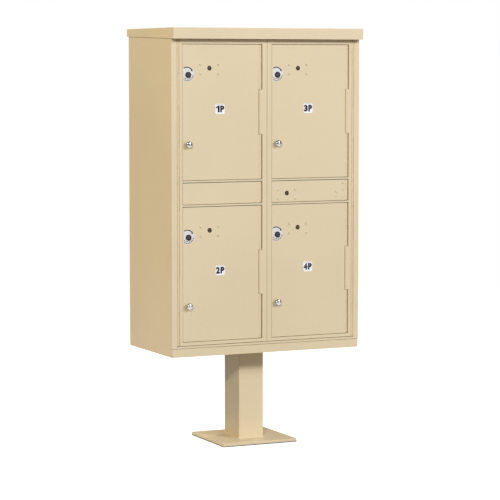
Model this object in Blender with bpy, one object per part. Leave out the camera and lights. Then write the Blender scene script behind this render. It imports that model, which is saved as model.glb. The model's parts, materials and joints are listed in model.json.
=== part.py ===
"""Outdoor parcel locker on a pedestal: two columns of two parcel compartments.

Metres, +Z up. The origin is the centre of the base plate's underside, where the unit stands.
The doors face -Y and +X is to the right as a user sees the unit. Every shape is drawn in the
unit's own frame, and each object's origin is then set on its own joint or reference point.
"""
import math

import bmesh
import bpy
from mathutils import Vector

# ---- overall sizes -------------------------------------------------------------------------
UNIT_HEIGHT = 1.5748
CABINET_WIDTH = 0.7747
CABINET_DEPTH = 0.4160
PEDESTAL_HEIGHT = 0.3600

# ---- sheet, gaps and clearances ------------------------------------------------------------
SHEET = 0.0025
FIT_GAP = 0.0003
PIN_CLEARANCE = 0.0003
DOOR_GAP = 0.0012
DOOR_END_GAP = 0.0020
HINGE_GAP = 0.0024
FASCIA_GAP = 0.0013
OVERCUT = 0.0100
SHORT_OVERCUT = 0.0010

# ---- pedestal ------------------------------------------------------------------------------
BASE_PLATE_SIDE = 0.3048
BASE_PLATE_THICKNESS = 0.0127
ANCHOR_HOLE_RADIUS = 0.0071
ANCHOR_HOLE_INSET = 0.0254
POST_WIDTH = 0.1020
POST_DEPTH = 0.1360
POST_WALL = 0.0040
TOP_PLATE_WIDTH = 0.2032
TOP_PLATE_DEPTH = 0.2540
TOP_PLATE_THICKNESS = 0.0064
STUD_RADIUS = 0.0048
STUD_INSET = 0.0250

# ---- hood ----------------------------------------------------------------------------------
HOOD_SHEET = 0.0020
HOOD_FRONT_OVERHANG = 0.0280
HOOD_REAR_OVERHANG = 0.0132
HOOD_FASCIA_HEIGHT = 0.0412
HOOD_REAR_SKIRT = 0.0290

# ---- front of the cabinet, heights above the cabinet's underside -----------------------------
FASCIA_HEIGHT = 0.0310
SILL_HEIGHT = 0.0080
SILL_DEPTH = 0.0100
MASTER_GAP = 0.0020
BOTTOM_RAIL = 0.0124
MIDDLE_RAIL = 0.0062
TOP_RAIL = 0.0168
FILLER_HEIGHT = 0.0790
HOOD_TO_MASTER_GAP = 0.0015

# ---- front of the cabinet, widths ------------------------------------------------------------
OUTER_MARGIN = 0.0430
CENTRE_STRIP = 0.0380
SEAM_GAP = 0.0015
MASTER_FRAME_DEPTH = 0.0190
DOOR_LIP = 0.0060
DOOR_LIP_GAP = 0.0015

# ---- master door hinges ----------------------------------------------------------------------
MASTER_HINGE_INSET = 0.0266
MASTER_KNUCKLE_RADIUS = 0.0050
MASTER_KNUCKLE_PROUD = 0.0010
MASTER_HINGE_GAP = 0.0010
MASTER_KNUCKLE_COUNT = 9
KNUCKLE_END_GAP = 0.0006
MASTER_PIN_RADIUS = 0.0020
MASTER_WEB = 0.0040

# ---- parcel doors ----------------------------------------------------------------------------
DOOR_THICKNESS = 0.0060
DOOR_KNUCKLE_RADIUS = 0.0059
DOOR_GROOVE_DEPTH = 0.0020
DOOR_GROOVE_SET = 0.0003
DOOR_PIN_RADIUS = 0.0020
HINGE_SHARE = 1.0 / 3.0

# ---- door furniture: distance from the opening's left edge, and from the door's top or bottom ----
CUSTOMER_LOCK_INSET = 0.0240
CUSTOMER_LOCK_DROP = 0.1115
ACCESS_LOCK_INSET = 0.1093
ACCESS_LOCK_DROP = 0.0870
LABEL_INSET = 0.1513
LABEL_DROP = 0.2370
KNOB_INSET = 0.0230
KNOB_RISE = 0.1320

CUSTOMER_HEAD_RADIUS = 0.0112
CUSTOMER_HEAD_THICKNESS = 0.0025
CUSTOMER_HEAD_CHAMFER = 0.0008
CUSTOMER_BARREL_RADIUS = 0.0093
CUSTOMER_BARREL_PAST_FRAME = 0.0030
CUSTOMER_PLUG_RADIUS = 0.0060
CUSTOMER_CAM_REACH = 0.0330
CAM_WIDTH = 0.0160
CAM_TIP_WIDTH = 0.0112
CAM_THICKNESS = 0.0025
CAM_TAIL_SIDE = 0.0060
CAM_TAIL_PROUD = 0.0010
KEYWAY_WIDTH = 0.0016
KEYWAY_DEPTH = 0.0020
CUSTOMER_KEYWAY_HEIGHT = 0.0078
ACCESS_KEYWAY_HEIGHT = 0.0062
PLUG_CHAMFER = 0.0006

ACCESS_HOLE_RADIUS = 0.0088
ACCESS_PLUG_RADIUS = 0.0062
ACCESS_PLUG_RECESS = 0.0015
ACCESS_BODY_WIDTH = 0.0860
ACCESS_BODY_HEIGHT = 0.0480
ACCESS_BODY_DEPTH = 0.0140
ACCESS_CAM_REACH = 0.0240

KNOB_HEAD_RADIUS = 0.0118
KNOB_NECK_RADIUS = 0.0062
KNOB_NECK_LENGTH = 0.0080
KNOB_LENGTH = 0.0190
KNOB_TIP_RADIUS = 0.0053
KNOB_SHOULDER_RADIUS = 0.0094
KNOB_SHOULDER_DROP = 0.0012
KNOB_RIM_DROP = 0.0045
KNOB_UNDER_RADIUS = 0.0106
KNOB_UNDER_DROP = 0.0015
KNOB_STUD_RADIUS = 0.0025
KNOB_STUD_LENGTH = 0.0090

LABEL_SIDE = 0.0380
LABEL_THICKNESS = 0.0006
LABEL_CORNER = 0.0060

# ---- master lock and latches -----------------------------------------------------------------
MASTER_LOCK_INSET = 0.0637
MASTER_LOCK_OFFSET = -0.0065
MASTER_CAM_GAP = 0.0035
LATCH_PIVOT_INSET = 0.0145
LATCH_PIVOT_RADIUS = 0.0035
LATCH_REACH_GAP = 0.0020
LATCH_HANDLE = 0.0450
LATCH_THICKNESS = 0.0030

# ---- inside ----------------------------------------------------------------------------------
STRIKE_GAP = 0.0030
STRIKE_WIDTH = 0.0160
SHELF_GAP = 0.0080
SHELF_LIP = 0.0120
CEILING_DROP = 0.0250
CEILING_HEADER_GAP = 0.0010

# ---- derived planes and lines ------------------------------------------------------------------
HALF_WIDTH = CABINET_WIDTH / 2
FRONT_Y = -CABINET_DEPTH / 2
BACK_Y = CABINET_DEPTH / 2
FLOOR_Z = PEDESTAL_HEIGHT
HOOD_BOTTOM_Z = UNIT_HEIGHT - HOOD_FASCIA_HEIGHT
SHELL_TOP_Z = UNIT_HEIGHT - HOOD_SHEET - FIT_GAP
WALL_X = HALF_WIDTH - SHEET

SILL_BOTTOM_Z = FLOOR_Z + FASCIA_HEIGHT + FASCIA_GAP
SILL_TOP_Z = SILL_BOTTOM_Z + SILL_HEIGHT
MASTER_BOTTOM_Z = SILL_TOP_Z + MASTER_GAP
MASTER_TOP_Z = HOOD_BOTTOM_Z - HOOD_TO_MASTER_GAP
LOWER_OPENING_Z = MASTER_BOTTOM_Z + BOTTOM_RAIL
FILLER_OPENING_HEIGHT = FILLER_HEIGHT + 2 * DOOR_END_GAP
TWO_OPENINGS = MASTER_TOP_Z - TOP_RAIL - LOWER_OPENING_Z - FILLER_OPENING_HEIGHT - 2 * MIDDLE_RAIL
OPENING_HEIGHT = TWO_OPENINGS / 2
DOOR_HEIGHT = OPENING_HEIGHT - 2 * DOOR_END_GAP
FILLER_OPENING_Z = LOWER_OPENING_Z + OPENING_HEIGHT + MIDDLE_RAIL
UPPER_OPENING_Z = FILLER_OPENING_Z + FILLER_OPENING_HEIGHT + MIDDLE_RAIL
SHELF_Z = FILLER_OPENING_Z + FILLER_OPENING_HEIGHT / 2
CEILING_Z = SHELL_TOP_Z - CEILING_DROP

MASTER_AXIS_X = HALF_WIDTH - MASTER_HINGE_INSET
MASTER_AXIS_Y = FRONT_Y + MASTER_KNUCKLE_RADIUS - MASTER_KNUCKLE_PROUD
HINGE_REACH = MASTER_KNUCKLE_RADIUS + MASTER_HINGE_GAP
FLANGE_EDGE_X = MASTER_AXIS_X + HINGE_REACH
MASTER_OUTER_X = MASTER_AXIS_X - HINGE_REACH
LEAF_BACK_Y = MASTER_AXIS_Y + MASTER_WEB / 2
DOOR_AXIS_Y = FRONT_Y + DOOR_KNUCKLE_RADIUS
OPENING_WIDTH = HALF_WIDTH - OUTER_MARGIN - CENTRE_STRIP / 2
LEFT_OPENING_X = -HALF_WIDTH + OUTER_MARGIN
RIGHT_OPENING_X = CENTRE_STRIP / 2
DOOR_BACK_Y = FRONT_Y + DOOR_THICKNESS
DOOR_LIP_Y = DOOR_BACK_Y + DOOR_LIP_GAP
FRAME_BACK_Y = FRONT_Y + MASTER_FRAME_DEPTH
CUSTOMER_BARREL_BACK_Y = FRAME_BACK_Y + CUSTOMER_BARREL_PAST_FRAME
STRIKE_FRONT_Y = FRAME_BACK_Y + STRIKE_GAP
DIVIDER_FRONT_Y = STRIKE_FRONT_Y + SHEET + FIT_GAP
MASTER_CAM_Y = STRIKE_FRONT_Y + SHEET + MASTER_CAM_GAP
SHELF_FRONT_Y = MASTER_CAM_Y + SHELF_GAP

# ---- colours -------------------------------------------------------------------------------------
SAND = (0.72, 0.62, 0.42)
STEEL = (0.55, 0.55, 0.56)
DARK_STEEL = (0.09, 0.09, 0.10)
BRASS = (0.60, 0.48, 0.24)
BRIGHT_CHROME = (0.80, 0.80, 0.82)
WHITE = (0.90, 0.90, 0.88)

# ---- how round a round piece is ------------------------------------------------------------------
ROD_SIDES = 20
PIN_SIDES = 12
POST_SIDES = 16
LOCK_SIDES = 24
PLUG_SIDES = 20
KNUCKLE_ARC_STEPS = 18
CAM_ARC_STEPS = 8
CORNER_ARC_STEPS = 4
SMOOTH_BELOW_DEGREES = 35


# ---- tools -------------------------------------------------------------------------------------
def clear_scene():
    for item in list(bpy.data.objects):
        bpy.data.objects.remove(item, do_unlink=True)


def material(name, colour, roughness, metallic):
    found = bpy.data.materials.get(name)
    if found:
        return found
    made = bpy.data.materials.new(name)
    made.use_nodes = True
    shader = made.node_tree.nodes["Principled BSDF"]
    shader.inputs["Base Color"].default_value = (*colour, 1.0)
    shader.inputs["Roughness"].default_value = roughness
    shader.inputs["Metallic"].default_value = metallic
    return made


def powder_coat():
    return material("sand_powder_coat", SAND, 0.5, 0.0)


def zinc_steel():
    return material("zinc_steel", STEEL, 0.4, 1.0)


def black_nickel():
    return material("black_nickel", DARK_STEEL, 0.35, 0.6)


def lock_brass():
    return material("lock_brass", BRASS, 0.4, 1.0)


def chrome():
    return material("chrome", BRIGHT_CHROME, 0.12, 1.0)


def label_vinyl():
    return material("label_white", WHITE, 0.5, 0.0)


def prism(outline, low, high, axis="Z"):
    """Closed solid: a flat outline, counter-clockwise, drawn out along one axis.

    The outline's two coordinates are (x, y) for Z, (y, z) for X and (x, z) for Y.
    """
    def corner(u, v, w):
        if axis == "Z":
            return (u, v, w)
        if axis == "X":
            return (w, u, v)
        return (u, w, v)

    shape = bmesh.new()
    start = [shape.verts.new(corner(u, v, low)) for u, v in outline]
    end = [shape.verts.new(corner(u, v, high)) for u, v in outline]
    shape.faces.new(start)
    shape.faces.new(end)
    count = len(outline)
    for i in range(count):
        j = (i + 1) % count
        shape.faces.new((start[i], start[j], end[j], end[i]))
    bmesh.ops.recalc_face_normals(shape, faces=shape.faces)
    return shape


def box(low, high):
    outline = [(low[0], low[1]), (high[0], low[1]), (high[0], high[1]), (low[0], high[1])]
    return prism(outline, low[2], high[2])


def arc(centre, radius, start, end, steps):
    """Points on an arc, angles in degrees, both ends included."""
    points = []
    for i in range(steps + 1):
        angle = math.radians(start + (end - start) * i / steps)
        points.append((centre[0] + radius * math.cos(angle), centre[1] + radius * math.sin(angle)))
    return points


def rod(centre, radius, low, high, axis="Z", sides=ROD_SIDES):
    """Cylinder between two planes across an axis; centre is in that plane's coordinates."""
    return prism(arc(centre, radius, 0, 360 * (sides - 1) / sides, sides - 1), low, high, axis)


def turned(centre, profile, sides=LOCK_SIDES):
    """Solid of revolution about a line along Y; profile is (radius, y) from front to back."""
    shape = bmesh.new()
    rings = []
    for radius, y in profile:
        ring = arc(centre, radius, 0, 360 * (sides - 1) / sides, sides - 1)
        rings.append([shape.verts.new((x, y, z)) for x, z in ring])
    shape.faces.new(rings[0])
    shape.faces.new(rings[-1])
    for near, far in zip(rings, rings[1:]):
        for i in range(sides):
            j = (i + 1) % sides
            shape.faces.new((near[i], near[j], far[j], far[i]))
    bmesh.ops.recalc_face_normals(shape, faces=shape.faces)
    return shape


def to_object(name, shape, origin):
    mesh = bpy.data.meshes.new(name)
    bmesh.ops.translate(shape, verts=shape.verts, vec=-Vector(origin))
    shape.to_mesh(mesh)
    shape.free()
    made = bpy.data.objects.new(name, mesh)
    bpy.context.scene.collection.objects.link(made)
    made.location = origin
    return made


def piece(name, shape, finish, origin=(0, 0, 0), parent=None, smooth=False):
    """Named object whose mesh is drawn in the unit's frame and whose origin is moved to a point."""
    made = to_object(name, shape, origin)
    made.data.materials.append(finish)
    if smooth:
        made.data.shade_smooth()
        made.data.set_sharp_from_angle(angle=math.radians(SMOOTH_BELOW_DEGREES))
    if parent:
        attach(made, parent)
    return made


def attach(child, parent):
    bpy.context.view_layer.update()
    child.parent = parent
    child.matrix_parent_inverse = parent.matrix_world.inverted()


def axis_empty(name, place, parent=None):
    made = bpy.data.objects.new(name, None)
    bpy.context.scene.collection.objects.link(made)
    made.location = place
    if parent:
        attach(made, parent)
    return made


def combine(target, shape, operation):
    """Boolean of one more shape, drawn in the unit's frame, into a piece."""
    tool_name = f"tool_{target.name}_{len(target.modifiers)}"
    bpy.context.view_layer.update()
    tool = to_object(tool_name, shape, target.matrix_world.translation)
    tool.hide_render = True
    tool.display_type = "WIRE"
    attach(tool, target)
    step = target.modifiers.new(tool_name, "BOOLEAN")
    step.operation = operation
    step.solver = "EXACT"
    step.object = tool


def cut(target, shape):
    combine(target, shape, "DIFFERENCE")


def add(target, shape):
    combine(target, shape, "UNION")


# ---- pedestal ----------------------------------------------------------------------------------
def make_base_plate():
    half = BASE_PLATE_SIDE / 2
    plate = piece("base_plate", box((-half, -half, 0), (half, half, BASE_PLATE_THICKNESS)), powder_coat())
    reach = half - ANCHOR_HOLE_INSET
    for x in (-reach, reach):
        for y in (-reach, reach):
            cut(plate, rod((x, y), ANCHOR_HOLE_RADIUS, -OVERCUT, BASE_PLATE_THICKNESS + OVERCUT))


def post_top():
    return SILL_TOP_Z - SHEET - FIT_GAP - TOP_PLATE_THICKNESS


def make_post():
    low = BASE_PLATE_THICKNESS + FIT_GAP
    high = post_top() - FIT_GAP
    half_x = POST_WIDTH / 2
    half_y = POST_DEPTH / 2
    post = piece("pedestal_post", box((-half_x, -half_y, low), (half_x, half_y, high)), powder_coat())
    inner_x = half_x - POST_WALL
    inner_y = half_y - POST_WALL
    cut(post, box((-inner_x, -inner_y, low - OVERCUT), (inner_x, inner_y, high + OVERCUT)))


def make_top_plate():
    low = post_top()
    high = low + TOP_PLATE_THICKNESS
    half_x = TOP_PLATE_WIDTH / 2
    half_y = TOP_PLATE_DEPTH / 2
    plate = piece("pedestal_top_plate", box((-half_x, -half_y, low), (half_x, half_y, high)), powder_coat())
    for x in (-half_x + STUD_INSET, half_x - STUD_INSET):
        for y in (-half_y + STUD_INSET, half_y - STUD_INSET):
            cut(plate, rod((x, y), STUD_RADIUS, low - OVERCUT, high + OVERCUT))


# ---- cabinet shell -------------------------------------------------------------------------------
def make_floor_pan():
    """Floor sheet with a thick front edge, the sill, and lips turned down at the sides and back."""
    half = WALL_X - FIT_GAP
    sill_half = FLANGE_EDGE_X - FIT_GAP
    back = BACK_Y - SHEET - FIT_GAP
    inner_front = LEAF_BACK_Y + FIT_GAP
    low = SILL_TOP_Z - SHEET
    pan = piece("floor_pan", box((-half, inner_front, low), (half, back, SILL_TOP_Z)), powder_coat())
    add(pan, box((-sill_half, FRONT_Y, SILL_BOTTOM_Z), (sill_half, FRONT_Y + SILL_DEPTH, SILL_TOP_Z)))
    add(pan, box((-half, back - SHEET, FLOOR_Z), (half, back, SILL_TOP_Z)))
    for side in (-1, 1):
        edges = sorted((side * half, side * (half - SHEET)))
        add(pan, box((edges[0], inner_front, FLOOR_Z), (edges[1], back, SILL_TOP_Z)))


def make_base_fascia():
    """Strip under the sill: a face across the front with a lip turned back along its top."""
    half = HALF_WIDTH - DOOR_GAP
    inner = WALL_X - 2 * SHEET
    lip_top = FLOOR_Z + FASCIA_HEIGHT
    face = box((-half, FRONT_Y, FLOOR_Z), (half, FRONT_Y + SHEET, lip_top))
    fascia = piece("base_fascia", face, powder_coat())
    lip_back = FRONT_Y + 2 * SILL_DEPTH
    add(fascia, box((-inner, FRONT_Y, lip_top - SHEET), (inner, lip_back, lip_top)))


def knuckle_bands(first):
    """Heights of every second knuckle along a master hinge, starting from number first."""
    pitch = (MASTER_TOP_Z - MASTER_BOTTOM_Z) / MASTER_KNUCKLE_COUNT
    bands = []
    for i in range(first, MASTER_KNUCKLE_COUNT, 2):
        low = MASTER_BOTTOM_Z + i * pitch + KNUCKLE_END_GAP / 2
        bands.append((low, low + pitch - KNUCKLE_END_GAP))
    return bands


def add_master_knuckles(target, side, towards, first):
    """Knuckles round a master hinge axis, each tied to its leaf; towards is the leaf's X."""
    axis_x = side * MASTER_AXIS_X
    web_low = MASTER_AXIS_Y - MASTER_WEB / 2
    for low, high in knuckle_bands(first):
        add(target, rod((axis_x, MASTER_AXIS_Y), MASTER_KNUCKLE_RADIUS, low, high))
        edges = sorted((axis_x, towards))
        add(target, box((edges[0], web_low, low), (edges[1], web_low + MASTER_WEB, high)))
    bore = MASTER_PIN_RADIUS + PIN_CLEARANCE
    cut(target, rod((axis_x, MASTER_AXIS_Y), bore, MASTER_BOTTOM_Z - OVERCUT, MASTER_TOP_Z + OVERCUT))


def make_side_panel(name, side):
    """Side wall with a front flange that carries the cabinet's half of a master hinge."""
    outer = side * HALF_WIDTH
    inner = side * WALL_X
    notch_y = FRONT_Y + SHEET + FIT_GAP
    wall = [(notch_y, FLOOR_Z), (BACK_Y, FLOOR_Z), (BACK_Y, SHELL_TOP_Z), (FRONT_Y, SHELL_TOP_Z),
            (FRONT_Y, SILL_BOTTOM_Z), (notch_y, SILL_BOTTOM_Z)]
    edges = sorted((outer, inner))
    panel = piece(name, prism(wall, edges[0], edges[1], "X"), powder_coat())
    edge = side * FLANGE_EDGE_X
    span = sorted((outer, edge))
    add(panel, box((span[0], FRONT_Y, SILL_BOTTOM_Z), (span[1], LEAF_BACK_Y, SHELL_TOP_Z)))
    add_master_knuckles(panel, side, edge + side * SHEET, 0)


def make_back_panel():
    half = WALL_X - FIT_GAP
    sheet = box((-half, BACK_Y - SHEET, FLOOR_Z), (half, BACK_Y, SHELL_TOP_Z))
    piece("back_panel", sheet, powder_coat())


def make_top_panel():
    """Ceiling sheet with a header turned down behind the hood's front and lips turned up."""
    half = FLANGE_EDGE_X - FIT_GAP
    wide = WALL_X - FIT_GAP
    back = BACK_Y - SHEET - FIT_GAP
    start = FRONT_Y + SILL_DEPTH
    header_low = MASTER_TOP_Z + CEILING_HEADER_GAP
    sheet = box((-wide, start, CEILING_Z), (wide, back, CEILING_Z + SHEET))
    panel = piece("top_panel", sheet, powder_coat())
    add(panel, box((-half, FRONT_Y, CEILING_Z), (half, start + SHEET, CEILING_Z + SHEET)))
    add(panel, box((-half, FRONT_Y, header_low), (half, FRONT_Y + SHEET, SHELL_TOP_Z)))
    add(panel, box((-wide, back - SHEET, CEILING_Z), (wide, back, SHELL_TOP_Z)))


def make_hood():
    """Cap over the cabinet: a sheet with skirts, deeper along the front than along the back."""
    front = FRONT_Y - HOOD_FRONT_OVERHANG
    back = BACK_Y + HOOD_REAR_OVERHANG
    half = HALF_WIDTH + FIT_GAP + HOOD_SHEET
    rear_low = UNIT_HEIGHT - HOOD_REAR_SKIRT
    outer = [(front, HOOD_BOTTOM_Z), (back, rear_low), (back, UNIT_HEIGHT), (front, UNIT_HEIGHT)]
    hood = piece("hood", prism(outer, -half, half, "X"), powder_coat())
    ceiling = UNIT_HEIGHT - HOOD_SHEET
    low = HOOD_BOTTOM_Z - HOOD_FASCIA_HEIGHT
    hollow = half - HOOD_SHEET
    cut(hood, box((-hollow, front + HOOD_SHEET, low), (hollow, back - HOOD_SHEET, ceiling)))


def make_divider():
    """Upright between the columns, and the strike bar across its front edge for the latches."""
    back = BACK_Y - SHEET - FIT_GAP
    low = SILL_TOP_Z + FIT_GAP
    high = CEILING_Z - FIT_GAP
    half = SHEET / 2
    sheet = box((-half, DIVIDER_FRONT_Y, low), (half, back, high))
    piece("centre_divider", sheet, powder_coat())
    reach = STRIKE_WIDTH / 2
    bar = box((-reach, STRIKE_FRONT_Y, low), (reach, STRIKE_FRONT_Y + SHEET, high))
    piece("latch_strike", bar, powder_coat())


def make_shelf(name, side):
    """Shelf between two compartments, with its front and back edges turned down."""
    start = SHELF_FRONT_Y
    back = BACK_Y - SHEET - FIT_GAP
    low = SHELF_Z - SHELF_LIP
    under = SHELF_Z - SHEET
    outline = [(start, low), (start + SHEET, low), (start + SHEET, under), (back - SHEET, under),
               (back - SHEET, low), (back, low), (back, SHELF_Z), (start, SHELF_Z)]
    near = SHEET / 2 + FIT_GAP
    far = WALL_X - FIT_GAP
    edges = sorted((side * near, side * far))
    piece(name, prism(outline, edges[0], edges[1], "X"), powder_coat())


def make_master_pin(name, side):
    centre = (side * MASTER_AXIS_X, MASTER_AXIS_Y)
    pin = rod(centre, MASTER_PIN_RADIUS, MASTER_BOTTOM_Z, MASTER_TOP_Z, sides=PIN_SIDES)
    piece(name, pin, zinc_steel(), origin=(centre[0], centre[1], MASTER_BOTTOM_Z), smooth=True)


# ---- door section, shared by the parcel doors and the filler panels ----------------------------------
def door_axis_x(opening_x):
    return opening_x + OPENING_WIDTH - HINGE_GAP - DOOR_KNUCKLE_RADIUS


def door_section(opening_x):
    """Level cut through a door: a flat panel, a groove, and a round knuckle at its right edge."""
    radius = DOOR_KNUCKLE_RADIUS
    axis_x = door_axis_x(opening_x)
    left = opening_x + DOOR_GAP
    face_end = axis_x - radius - DOOR_GROOVE_SET
    groove_y = FRONT_Y + DOOR_GROOVE_DEPTH
    groove_angle = 180 + math.degrees(math.asin((radius - DOOR_GROOVE_DEPTH) / radius))
    back_angle = 540 - math.degrees(math.asin((DOOR_THICKNESS - radius) / radius))
    outline = [(left, FRONT_Y), (face_end, FRONT_Y), (face_end, groove_y)]
    outline += arc((axis_x, DOOR_AXIS_Y), radius, groove_angle, back_angle, KNUCKLE_ARC_STEPS)
    outline.append((left, DOOR_BACK_Y))
    return outline


def hinge_band(door_low):
    """Height range of the frame's knuckle: the middle third of a door."""
    length = DOOR_HEIGHT * HINGE_SHARE
    middle = door_low + DOOR_HEIGHT / 2
    return middle - length / 2, middle + length / 2


# ---- master doors ------------------------------------------------------------------------------
def make_master_frame(name, side, opening_x, parent):
    """Frame with a rabbet round its three openings, the frame knuckles and half a master hinge."""
    outer = side * MASTER_OUTER_X
    seam = side * SEAM_GAP / 2
    edges = sorted((outer, seam))
    body = box((edges[0], FRONT_Y, MASTER_BOTTOM_Z), (edges[1], FRAME_BACK_Y, MASTER_TOP_Z))
    frame = piece(name, body, powder_coat(), origin=parent.location, parent=parent)
    right_x = opening_x + OPENING_WIDTH
    axis_x = door_axis_x(opening_x)
    openings = ((LOWER_OPENING_Z, OPENING_HEIGHT), (FILLER_OPENING_Z, FILLER_OPENING_HEIGHT),
                (UPPER_OPENING_Z, OPENING_HEIGHT))
    for low, height in openings:
        high = low + height
        cut(frame, box((opening_x, FRONT_Y - OVERCUT, low), (right_x, DOOR_LIP_Y, high)))
        inner_low = (opening_x + DOOR_LIP, DOOR_LIP_Y - SHORT_OVERCUT, low + DOOR_LIP)
        cut(frame, box(inner_low, (right_x, FRAME_BACK_Y + OVERCUT, high - DOOR_LIP)))
        pocket_low = (axis_x - DOOR_KNUCKLE_RADIUS - HINGE_GAP, FRONT_Y - OVERCUT, low)
        cut(frame, box(pocket_low, (right_x, FRAME_BACK_Y + OVERCUT, high)))
    bore = DOOR_PIN_RADIUS + PIN_CLEARANCE
    for low in (LOWER_OPENING_Z, UPPER_OPENING_Z):
        band_low, band_high = hinge_band(low + DOOR_END_GAP)
        band_low += KNUCKLE_END_GAP / 2
        band_high -= KNUCKLE_END_GAP / 2
        knuckle = rod((axis_x, DOOR_AXIS_Y), DOOR_KNUCKLE_RADIUS, band_low, band_high, sides=LOCK_SIDES)
        add(frame, knuckle)
        add(frame, box((axis_x, FRONT_Y, band_low), (right_x + SHEET, DOOR_BACK_Y, band_high)))
        bore_span = (band_low - SHORT_OVERCUT, band_high + SHORT_OVERCUT)
        cut(frame, rod((axis_x, DOOR_AXIS_Y), bore, *bore_span))
    add_master_knuckles(frame, side, outer - side * SHEET, 1)
    return frame


def make_filler_panel(name, opening_x, parent):
    low = FILLER_OPENING_Z + DOOR_END_GAP
    panel = prism(door_section(opening_x), low, low + FILLER_HEIGHT)
    return piece(name, panel, powder_coat(), origin=parent.location, parent=parent, smooth=True)


# ---- locks ---------------------------------------------------------------------------------------
def keyed_plug(name, centre, radius, front, back, tail_end, finish, parent, keyway_height):
    """Round plug along Y with a key slot in front and a square tail behind."""
    steps = [(radius - PLUG_CHAMFER, front), (radius, front + PLUG_CHAMFER), (radius, back)]
    origin = (centre[0], front, centre[1])
    shape = turned(centre, steps, PLUG_SIDES)
    plug = piece(name, shape, finish, origin=origin, parent=parent, smooth=True)
    half = CAM_TAIL_SIDE / 2
    tail_low = (centre[0] - half, back - KEYWAY_DEPTH, centre[1] - half)
    add(plug, box(tail_low, (centre[0] + half, tail_end, centre[1] + half)))
    slot_low = (centre[0] - KEYWAY_WIDTH / 2, front - SHORT_OVERCUT, centre[1] - keyway_height / 2)
    slot_high = (centre[0] + KEYWAY_WIDTH / 2, front + KEYWAY_DEPTH, centre[1] + keyway_height / 2)
    cut(plug, box(slot_low, slot_high))
    return plug


def lock_cam(name, centre, front, reach, parent):
    """Flat cam on a plug's square tail, hanging straight down when the lock is open."""
    half = CAM_WIDTH / 2
    end = centre[1] - reach
    outline = [(centre[0] - CAM_TIP_WIDTH / 2, end), (centre[0] + CAM_TIP_WIDTH / 2, end)]
    outline += arc(centre, half, 0, 180, CAM_ARC_STEPS)
    shape = prism(outline, front, front + CAM_THICKNESS, "Y")
    origin = (centre[0], front, centre[1])
    cam = piece(name, shape, zinc_steel(), origin=origin, parent=parent)
    hole = CAM_TAIL_SIDE / 2 + FIT_GAP
    low = (centre[0] - hole, front - SHORT_OVERCUT, centre[1] - hole)
    high = (centre[0] + hole, front + CAM_THICKNESS + SHORT_OVERCUT, centre[1] + hole)
    cut(cam, box(low, high))
    return cam


def make_customer_lock(number, centre, door):
    """Cam lock: a headed barrel through the door, its plug and its cam."""
    dark = black_nickel()
    front = FRONT_Y - FIT_GAP - CUSTOMER_HEAD_THICKNESS
    seat = FRONT_Y - FIT_GAP
    back = CUSTOMER_BARREL_BACK_Y
    head = CUSTOMER_HEAD_RADIUS
    steps = [(head - CUSTOMER_HEAD_CHAMFER, front), (head, front + CUSTOMER_HEAD_CHAMFER), (head, seat),
             (CUSTOMER_BARREL_RADIUS, seat), (CUSTOMER_BARREL_RADIUS, back)]
    origin = (centre[0], front, centre[1])
    body = piece(f"customer_lock_body_{number}", turned(centre, steps), dark, origin, door, True)
    bore = CUSTOMER_PLUG_RADIUS + PIN_CLEARANCE
    cut(body, rod(centre, bore, front - OVERCUT, back + OVERCUT, "Y"))
    cam_front = back + FIT_GAP
    tail = cam_front + CAM_THICKNESS + CAM_TAIL_PROUD
    plug_front = front + FIT_GAP
    keyed_plug(f"customer_lock_plug_{number}", centre, CUSTOMER_PLUG_RADIUS, plug_front, back,
               tail, dark, door, CUSTOMER_KEYWAY_HEIGHT)
    lock_cam(f"customer_lock_cam_{number}", centre, cam_front, CUSTOMER_CAM_REACH, door)


def lock_body(name, centre, front, parent):
    """Rectangular lock body fixed behind a door, bored for its plug."""
    half_x = ACCESS_BODY_WIDTH / 2
    half_z = ACCESS_BODY_HEIGHT / 2
    back = front + ACCESS_BODY_DEPTH
    low = (centre[0] - half_x, front, centre[1] - half_z)
    shape = box(low, (centre[0] + half_x, back, centre[1] + half_z))
    body = piece(name, shape, lock_brass(), origin=(centre[0], front, centre[1]), parent=parent)
    bore = ACCESS_PLUG_RADIUS + PIN_CLEARANCE
    cut(body, rod(centre, bore, front - OVERCUT, back + OVERCUT, "Y"))


def make_access_lock(number, centre, door):
    """Carrier's lock behind the door: a body, and a plug seen through a hole in the door."""
    body_front = DOOR_BACK_Y + FIT_GAP
    lock_body(f"access_lock_body_{number}", centre, body_front, door)
    back = body_front + ACCESS_BODY_DEPTH + FIT_GAP
    name = f"access_lock_plug_{number}"
    plug = keyed_plug(name, centre, ACCESS_PLUG_RADIUS, FRONT_Y + ACCESS_PLUG_RECESS, back,
                      back + CAM_THICKNESS, lock_brass(), door, ACCESS_KEYWAY_HEIGHT)
    half = CAM_TAIL_SIDE / 2
    finger_low = (centre[0] - half, back, centre[1] - ACCESS_CAM_REACH)
    add(plug, box(finger_low, (centre[0] + half, back + CAM_THICKNESS, centre[1])))


# ---- parcel doors --------------------------------------------------------------------------------
def make_knob(number, centre, door):
    """Round pull knob on a stud through the door."""
    seat = FRONT_Y - FIT_GAP
    tip = seat - KNOB_LENGTH
    head_back = seat - KNOB_NECK_LENGTH
    steps = [(KNOB_TIP_RADIUS, tip), (KNOB_SHOULDER_RADIUS, tip + KNOB_SHOULDER_DROP),
             (KNOB_HEAD_RADIUS, tip + KNOB_RIM_DROP), (KNOB_UNDER_RADIUS, head_back - KNOB_UNDER_DROP),
             (KNOB_NECK_RADIUS, head_back), (KNOB_NECK_RADIUS, seat), (KNOB_STUD_RADIUS, seat),
             (KNOB_STUD_RADIUS, FRONT_Y + KNOB_STUD_LENGTH)]
    origin = (centre[0], seat, centre[1])
    piece(f"pull_knob_{number}", turned(centre, steps), chrome(), origin, door, True)


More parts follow.
